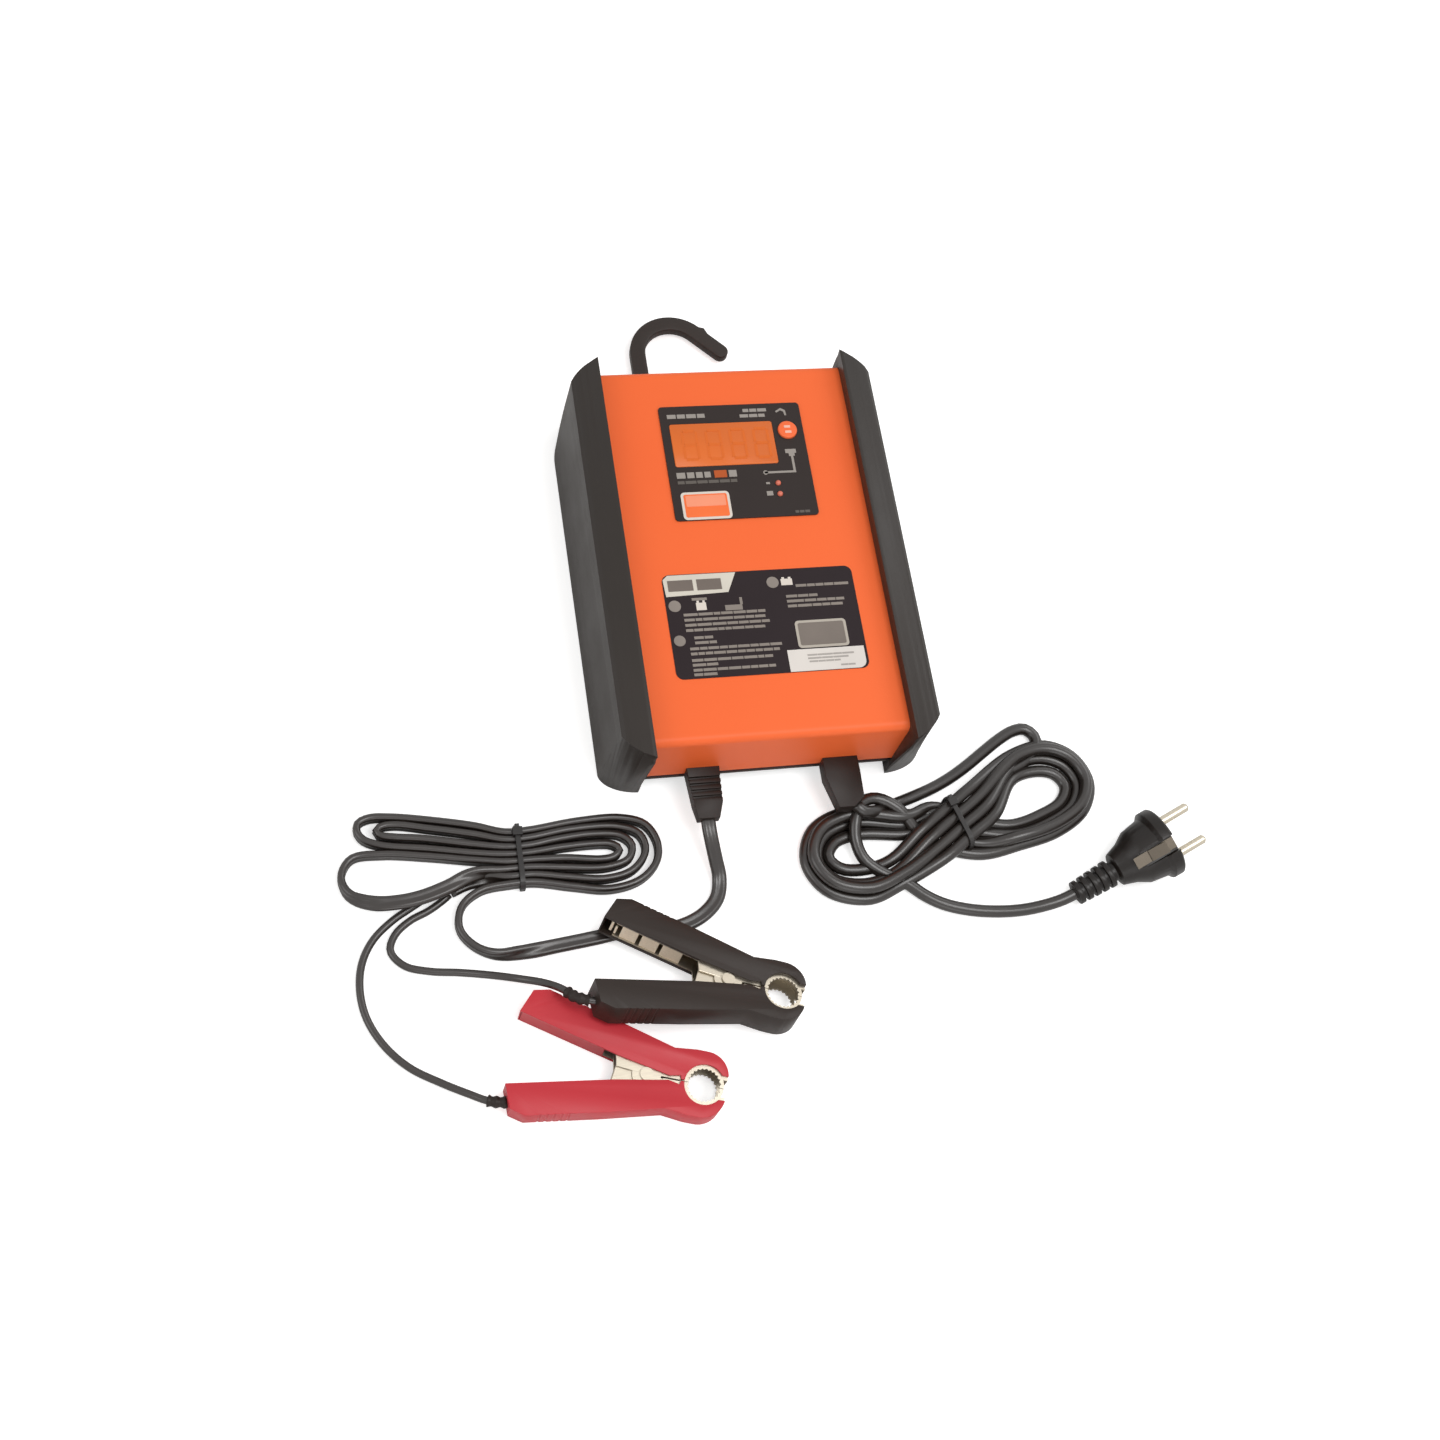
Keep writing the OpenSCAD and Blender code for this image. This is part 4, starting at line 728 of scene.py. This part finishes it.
def turned(name, x, y, profile):
    """A body turned about an upright axis from radius and height pairs in millimetres."""
    bm = bmesh.new()
    rings = []
    for r, z in profile:
        if r:
            ring = ring_section(r / 1000, KEY_SIDES)
            rings.append([bm.verts.new((x + a, y + b, z / 1000)) for a, b in ring])
        else:
            rings.append([bm.verts.new((x, y, z / 1000))] * KEY_SIDES)
    for low, high in zip(rings, rings[1:]):
        for j in range(KEY_SIDES):
            k = (j + 1) % KEY_SIDES
            bm.faces.new(list(dict.fromkeys((low[j], low[k], high[k], high[j]))))
    return mesh_piece(name, bm)


KEY = (30.9, 67.2)
KEY_TOP = 0.0582
key = turned("mode_key", KEY[0] / 1000, KEY[1] / 1000 + BODY_Y,
             ((0, 49.3), (2.2, 49.3), (2.2, 53.4), (6.25, 53.45), (6.25, 54.6), (5.2, 54.62), (5.2, 57.4),
              (5.1, 57.75), (4.9, 57.98), (4.6, 58.12), (4.2, 58.2), (0, 58.2)))
key.data.set_sharp_from_angle(angle=radians(35))
fitted(key, moulded("orange_silicone_key", "#FA7240", 0.45, 0.6, 0.08, 0.06, 0.3), "button", "mode_button")
finish(moulded("salmon_lamp_plastic", "#D9715A", 0.25, 2.0, 0.03, 0.1, 0.5), "status_lamps")


def bar(x0, y0, x1, y1):
    return [(x0, y0), (x1, y0), (x1, y1), (x0, y1)]


def rounded(x0, y0, x1, y1, r, corners=(1, 1, 1, 1)):
    """Outline of a box with chosen corners rounded: lower left, lower right, upper right, upper left."""
    line = []
    for (cx, cy, start), on in zip(((x0, y0, 180), (x1, y0, 270), (x1, y1, 0), (x0, y1, 90)), corners):
        if not on:
            line.append((cx, cy))
            continue
        mx, my = (x0 + r if cx == x0 else x1 - r), (y0 + r if cy == y0 else y1 - r)
        angles = [radians(start + a) for a in range(0, 91, 15)]
        line += [(mx + r * cos(a), my + r * sin(a)) for a in angles]
    return line


def disc(x, y, r):
    return [(x + a, y + b) for a, b in ring_section(r, 24)]


def bars(x0, y0, x1, height, short, long):
    """A row of plain bars of uneven length with narrow gaps."""
    row, x = [], x0
    while x < x1 - short:
        w = min(draw.uniform(short, long), x1 - x)
        row.append(bar(x, y0, x + w, y0 + height))
        x += w + height * BAR_GAP
    return row


def flat_parts(name, outlines, material, body):
    """One mesh of flat parts, each closed between two matching outlines."""
    bm = bmesh.new()
    for pair in outlines:
        low, high = [[bm.verts.new(at) for at in line] for line in pair]
        bm.faces.new(low[::-1])
        bm.faces.new(high)
        for i in range(len(low)):
            j = (i + 1) % len(low)
            bm.faces.new((low[i], low[j], high[j], high[i]))
    return fitted(mesh_piece(name, bm, False), material, body)


def printed(name, outlines, base_z, layer, material, body="housing"):
    """Thin ink fields in millimetres on the face, as one mesh."""
    heights = (base_z - PRINT_T / 2, base_z + PRINT_T * (0.5 + layer))
    pairs = [[[(x / 1000, y / 1000 + BODY_Y, z) for x, y in line] for z in heights] for line in outlines]
    flat_parts(name, pairs, material, body)


# Screen ink: matt, a shade thinner where the mesh of the screen shows
def ink(name, colour, fade=0.1):
    return moulded(name, colour, 0.55, 0.5, 0.06, fade, 0.2)


grey_ink = ink("pale_grey_screen_ink", "#9C958F")
dim_ink = ink("dim_grey_screen_ink", "#625C57")
white_ink = ink("white_screen_ink", "#DDD4CA")
orange_ink = ink("orange_screen_ink", "#FA7640")
salmon_ink = ink("salmon_screen_ink", "#FB9A78")
segment_ink = ink("amber_segment_ink", "#DD6D2D", 0.05)

panel_grey = bars(-32.8, 76.8, -12.5, 2.4, 4, 7) + bars(8.5, 79.3, 21.8, 1.9, 3, 5)
panel_grey += bars(6.4, 76, 22.1, 1.9, 3, 5) + bars(-32.7, 40.6, -14, 3.4, 3, 6)
panel_grey += [bar(-4.8, 40.4, -0.6, 44.4),
               [(26.2, 79.2), (29.2, 81), (31.6, 79.6), (31.9, 76.4), (30.9, 76.4), (30.5, 78.7), (29, 79.6),
                (26.6, 78.2)],
               bar(27.6, 53.2, 33.4, 55.6), bar(29.2, 51.4, 32.4, 53.2), bar(30.2, 42.6, 31.5, 51.4),
               bar(14.4, 41.4, 31.5, 42.6), disc(15, 42, 1.3), bar(14.2, 35, 16.2, 36.2),
               bar(13.6, 28.2, 17, 30.8)]
panel_dim = bars(-32.7, 37.2, -1, 1.8, 3, 6) + bars(27.1, 17.2, 36.2, 1.5, 1.5, 3)
printed("panel_marks", panel_grey, PANEL_Z, 1, grey_ink)
printed("panel_faint_marks", panel_dim, PANEL_Z, 1, dim_ink)
printed("key_marks", [bar(KEY[0] - 1.9, KEY[1] + 0.7, KEY[0] + 1.5, KEY[1] + 2.1),
                      bar(KEY[0] - 1.7, KEY[1] - 2.5, KEY[0] + 1.7, KEY[1] - 1.1)], KEY_TOP, 1,
        ink("pale_key_ink", "#F6C2AE"), "button")
printed("panel_patch", [bar(-12.6, 40.3, -5.9, 44.6)], PANEL_Z, 1,
        ink("brown_orange_screen_ink", "#B4562A", 0.2))
printed("panel_frame", [rounded(-32.4, 16, -6.6, 32.2, 2.2)], PANEL_Z, 1, white_ink)
printed("panel_field", [rounded(-31, 17.4, -8, 30.8, 1)], PANEL_Z, 2, orange_ink)
printed("panel_band", [rounded(-30, 23.6, -9, 30, 0.6)], PANEL_Z, 3, salmon_ink)
DIGIT_Y = 50.9
SEGMENTS = ((0.6, 8.6, 7.0, 10.2), (0.6, 17.3, 7.0, 18.9), (0.6, -0.1, 7.0, 1.5), (-0.6, 1.2, 0.8, 8.9),
            (6.8, 1.2, 8.2, 8.9), (-0.6, 9.9, 0.8, 17.6), (6.8, 9.9, 8.2, 17.6))
digits = [bar(x + x0, DIGIT_Y + y0, x + x1, DIGIT_Y + y1)
          for x in (-26.5, -13.6, -0.7, 12.2) for x0, y0, x1, y1 in SEGMENTS]
printed("display_segments", digits, PANEL_Z + 0.0002, 0.2, segment_ink)

# Guide label: dark satin film stuck to the lower face, screen printed with a pale
# banner, round spots, rows of plain bars, an outlined box and a white field.
LABEL_Z = 0.0563
finish(moulded("dark_vinyl_guide_label", "#241A1D", 0.42, 0.8, 0.08, 0.06, 0.2), "guide_label")
printed("label_banner", [[(-48, -27.2), (-15.6, -26.2), (-10.4, -15.2), (-46, -15.2), (-48.6, -17.6)]],
        LABEL_Z, 1, ink("pale_banner_ink", "#D6D0C4"))
printed("label_banner_bars", [bar(-46.4, -24.4, -33.4, -18.2), bar(-31.4, -24.4, -18.6, -18.2)], LABEL_Z, 2,
        ink("banner_grey_ink", "#746A63", 0.25))
label_grey = [disc(-44.4, -32.6, 3.2), disc(-44.6, -52.0, 3.0), disc(8.2, -22.2, 3.2)]
for y0, x1 in ((-38.6, 2.6), (-41.5, 1.4), (-44.4, 3.2), (-47.3, 2.4)):
    label_grey += bars(-40.6, y0, x1, 1.5, 3, 8)
for y0, x0, x1 in ((-51.6, -37, -25.4), (-54.4, -37, -25.4), (-57.6, -40, 7.4), (-60.4, -40, 6)):
    label_grey += bars(x0, y0, x1, 1.5, 3, 7)
for y0, x1 in ((-64, 3.4), (-66.6, -27), (-69.4, 5), (-71.9, -27)):
    label_grey += bars(-40, y0, x1, 1.5, 3, 7)
for y0, x0, x1 in ((-25.6, 20, 48), (-31.4, 14, 32), (-34.2, 14, 48), (-37, 14, 43)):
    label_grey += bars(x0, y0, x1, 1.5, 4, 9)
label_grey += [bar(-18.6, -36.6, -9.6, -33.6), bar(-10.6, -33.6, -9.2, -29.6),
               bar(-35.2, -30, -27.4, -28.6)]
printed("label_marks", label_grey, LABEL_Z, 1, ink("label_grey_ink", "#8C837C", 0.2))
printed("label_icons", [bar(-33.4, -35.6, -28.2, -31.4), bar(-32.9, -31.4, -31.7, -30.2),
                        bar(-29.9, -31.4, -28.7, -30.2), bar(12.6, -24.2, 18.6, -20.6),
                        bar(13.2, -20.6, 14.6, -19.6), bar(16.6, -20.6, 18, -19.6)], LABEL_Z, 1, white_ink)
printed("label_box", [rounded(15.8, -60.2, 42.6, -44.8, 2)], LABEL_Z, 1, ink("box_outline_ink", "#B5ADA2"))
printed("label_box_field", [rounded(17.2, -58.8, 41.2, -46.2, 1)], LABEL_Z, 2,
        ink("box_field_ink", "#7A716A", 0.25))
printed("label_white_field", [rounded(9.4, -73, 49.6, -60.9, 4, (0, 1, 0, 0))], LABEL_Z, 1,
        ink("white_field_ink", "#DED8D2"))
field_lines = bars(19.5, -64.8, 44, 0.9, 4, 8) + bars(19.5, -66.6, 44, 0.9, 4, 8)
field_lines += bars(20, -68.4, 37, 0.9, 3, 6) + bars(36, -71.2, 46, 0.9, 3, 5)
printed("label_field_lines", field_lines, LABEL_Z, 2, ink("field_line_ink", "#ABA5A0"))

# Hanging hook: flat bar of glass filled nylon, turned on a shouldered bush, washer,
# screw and nut through the back plate, and folded out over the top of the shell.
hook_nylon = moulded("black_nylon_hook", "#2E2622", 0.42, 0.5, 0.25, 0.1, 0.3)
eased("hook", "hook_moulding", "hook", 1.2, hook_nylon, 3)
plated = moulded("passivated_bush_steel", "#A9A7A0", 0.3, 0.8, 0.05)
plated.node_tree.nodes["Principled BSDF"].inputs["Metallic"].default_value = 1.0
finish(plated, "hook_bush", "hook_washer", "hook_screw", "hook_nut", "board_standoffs", "display_standoffs",
       "fuse_holder")

# Boards and what they carry, seen when the back is off: epoxy glass boards, a ferrite
# transformer, an extruded heat sink, capacitors, a ring choke, relay, fuse and blocks.
board_green = moulded("solder_mask_on_epoxy_glass", "#1F6B43", 0.35, 1.2, 0.1, 0.18, 0.5)
finish(board_green, "main_board", "display_board")
finish(moulded("sintered_ferrite", "#3A3D40", 0.6, 0.3, 0.4), "transformer_core")
finish(moulded("yellow_polyester_winding_tape", "#D9A92F", 0.35, 1.5, 0.15), "transformer_winding")
finish(moulded("black_epoxy_package", "#26262A", 0.5, 0.3, 0.2), "power_transistors", "tact_switch")
finish(moulded("shrink_sleeve_of_capacitors", "#222E3D", 0.3, 1.5, 0.08), "bulk_capacitor",
       "output_capacitors")
finish(moulded("polyester_relay_case", "#2C4F7E", 0.35, 0.8, 0.08), "relay")
finish(moulded("green_polyamide_terminal_block", "#3B7F55", 0.45, 0.6, 0.12), "terminal_block")
finish(moulded("grey_pvc_ribbon", "#B9BDC0", 0.5, 1.3, 0.2), "ribbon_cable")
finish(moulded("display_glass_in_its_frame", "#2A3530", 0.2, 2.0, 0.03, 0.08, 0.6, 0.4), "lcd_module")
finish(moulded("ceramic_fuse_tube", "#DDE1E2", 0.2, 1.5, 0.03, 0.05, 0.6, 0.3), "fuse")


# Drawn or wound metal: fine lines along one axis that stretch its highlight
def lined_metal(name, colour, rough, line_mm, axis):
    made, tree, out = blank(name)
    metal = add(tree, "ShaderNodeBsdfPrincipled", Metallic=1.0)
    place = add(tree, "ShaderNodeTexCoord")
    reach = [1000 / line_mm] * 3
    reach[axis] = 40 / line_mm
    run = add(tree, "ShaderNodeMapping", Vector=place.outputs["Object"], Scale=reach)
    lines = add(tree, "ShaderNodeTexNoise", Vector=run.outputs[0], Scale=1.0, Detail=2.0)
    base = paint(colour)
    tint = add(tree, "ShaderNodeMix", {"data_type": "RGBA"}, Factor=lines.outputs[0],
               _6=[c * 0.82 for c in base[:3]] + [1.0], _7=[min(1.0, c * 1.12) for c in base[:3]] + [1.0])
    soft = add(tree, "ShaderNodeMapRange", Value=lines.outputs[0], To_Min=rough - 0.06, To_Max=rough + 0.08)
    bump = add(tree, "ShaderNodeBump", Strength=0.15, Distance=0.0001, Height=lines.outputs[0])
    joined(tree, out, metal, tint, soft, bump)
    return made


finish(lined_metal("extruded_aluminium_sink", "#B9BCBE", 0.38, 0.4, 1), "heat_sink")
finish(lined_metal("enamelled_copper_choke", "#B5683A", 0.32, 0.9, 2), "choke")

# Boots: soft PVC moulded round each lead where it enters the shell, ribbed across on
# the output side and cut off slantwise on the mains side.
boot_pvc = moulded("soft_black_pvc_boot", "#241B17", 0.46, 0.5, 0.2, 0.12, 0.28)
eased("dc_boot", "output_boot", "housing", 0.5, boot_pvc)
eased("mains_boot", "mains_lead_boot", "housing", 0.6, boot_pvc)

# Clamps: nickel plated folded steel jaws on a pin with a coil spring, under moulded
# grips, one red and one black. The lower grip takes the lead, the upper one moves.
jaw_steel = lined_metal("nickel_plated_jaw_steel", "#BDB4A4", 0.36, 0.5, 0)
spring_steel = lined_metal("zinc_plated_spring_wire", "#A9A69C", 0.3, 0.4, 2)
grip_paint = {"black": moulded("black_pvc_grip", "#2A211C", 0.4, 0.4, 0.2, 0.1, 0.3),
              "red": moulded("red_pvc_grip", "#C22F39", 0.42, 0.4, 0.16, 0.06, 0.35)}
# Handle steel: painted much paler than the jaw steel, a painted highlight on the web inside each grip's
# channel
highlit_web_steel = lined_metal("handle_steel_painted_highlight", "#F6EAD6", 0.6, 0.5, 0)
PIVOT = {"black": ((-0.040, -0.239, 0.0152), (-14, 4.7, -18)),
         "red": ((-0.084, -0.278, 0.00795), (0, 0, -17.5))}
SKIRT = 2.2
SKIRT_END = 5
EDGE_REACH = 0.35
HANDLE = Vector((-65, 20, 0))
HANDLE_SLOPE = 0.2361
KNEE_X, KNEE_Y = -14.6, 8.1
NOSE_SLOPE = 0.2941
ALONG = Vector((50.4, -11.9, 0)).normalized()
INTO = Vector((11.9, 50.4, 0)).normalized()


def placed(clamp, half):
    """Matrix from millimetres at a clamp's pin to the scene; the lower half is the upper one mirrored."""
    at, turn = PIVOT[clamp]
    lean = Euler([radians(a) for a in turn]).to_matrix().to_4x4()
    flip = Matrix.Diagonal((0.001, 0.001 if half == "upper" else -0.001, 0.001, 1))
    return Matrix.Translation(at) @ lean @ flip


def deeper_skirt(bm, place):
    """Takes the open edge of a grip's handle down over the edge of its steel."""
    back = place.inverted()
    for v in bm.verts:
        at = back @ v.co
        if at.x < KNEE_X:
            edge_y = HANDLE.y - HANDLE_SLOPE * (at.x - HANDLE.x)
        else:
            edge_y = KNEE_Y - NOSE_SLOPE * (at.x - KNEE_X)
        if abs(at.y - edge_y) < EDGE_REACH and at.x < SKIRT_END:
            at.y -= SKIRT * min(1, (SKIRT_END - at.x) / (SKIRT_END - KNEE_X))
            v.co = place @ at


def plates(name, clamp, half, outlines, body, material):
    """Flat parts in a clamp: each outline in its side view from one width to another."""
    place = placed(clamp, half)
    pairs = [[[place @ Vector((x, y, z)) for x, y in line] for z in widths] for line, *widths in outlines]
    edge = flat_parts(name, pairs, material, body).modifiers.new("eased", "BEVEL")
    edge.width = 0.0003
    edge.segments = 2


def strip(start, end, low, high):
    """Side view of a flat piece along the handle, set in by low to high millimetres."""
    corners = ((start, low), (end, low), (end, high), (start, high))
    return [tuple((HANDLE + ALONG * s + INTO * h)[:2]) for s, h in corners]


WINGS = {"upper": ([(-4, 0), (0, 6), (-14, 11), (-17, 11.5), (-15, 1)], 4.95, 6.05),
         "lower": ([(-4, -3), (0, 6), (-14, 11), (-17, 11.5), (-15, -2.5)], 3.85, 4.8)}
for clamp in ("black", "red"):
    for half, body in (("lower", "housing"), ("upper", clamp + "_upper")):
        place = placed(clamp, half)
        eased(f"{clamp}_{half}_grip", f"{clamp}_{half}_grip_cover", body, 0.6, grip_paint[clamp],
              shape=lambda bm: deeper_skirt(bm, place))
        wing, near_z, far_z = WINGS[half]
        plates(f"{clamp}_{half}_wings", clamp, half, [(wing, near_z, far_z), (wing, -far_z, -near_z)], body,
               jaw_steel)
        # These handle steel plates carry the painted highlight of the web in the grip's channel
        plates(f"{clamp}_{half}_handle_steel", clamp, half,
               [(strip(11, 19.5, -1.3, 0.3), -5, 5), (strip(21.5, 30.5, -1.3, 0.3), -5, 5),
                (strip(32.5, 43, -1.3, 0.3), -5, 5), (strip(5, 6.4, -1.3, 0.3), -3.2, 4.4),
                (strip(7.6, 8.8, -1.1, 0.3), -4.4, 1.5)], body, highlit_web_steel)
        if clamp == "red":
            plates(f"red_{half}_grip_sole", clamp, half, [(strip(1.5, 45, -2.1, -1.5), -6.6, 6.6)], body,
                   grip_paint["red"])
    finish(jaw_steel, f"{clamp}_lower_jaw", f"{clamp}_upper_jaw", f"{clamp}_pin")
    finish(spring_steel, f"{clamp}_spring")
for cord, path, clamp in ((black_cord, black_path, "black"), (red_cord, red_path, "red")):
    sleeve = sweep(f"{clamp}_lead_sleeve", smooth(path[-8:-2], 0.0006), ring_section(TWIN_T / 2 + 0.0008, 20),
                   swell=lambda share: 1 + 0.12 * cos(share * pi * 6))
    fitted(sleeve, boot_pvc, "housing")

# Mains plug: black PVC moulded round the contact pins, with a ribbed strain relief and
# sprung earth strips in its sides.
plug_pvc = moulded("black_pvc_plug", "#191411", 0.36, 0.5, 0.15, 0.1, 0.35)
eased("plug_body", "plug_moulding", "housing", 0.4, plug_pvc, 2, 24)
finish(lined_metal("nickel_plated_brass_pins", "#CFC6B4", 0.3, 0.5, 2), "plug_pins")
finish(lined_metal("dull_earth_strip_brass", "#5E574E", 0.42, 0.5, 2), "earth_strips")
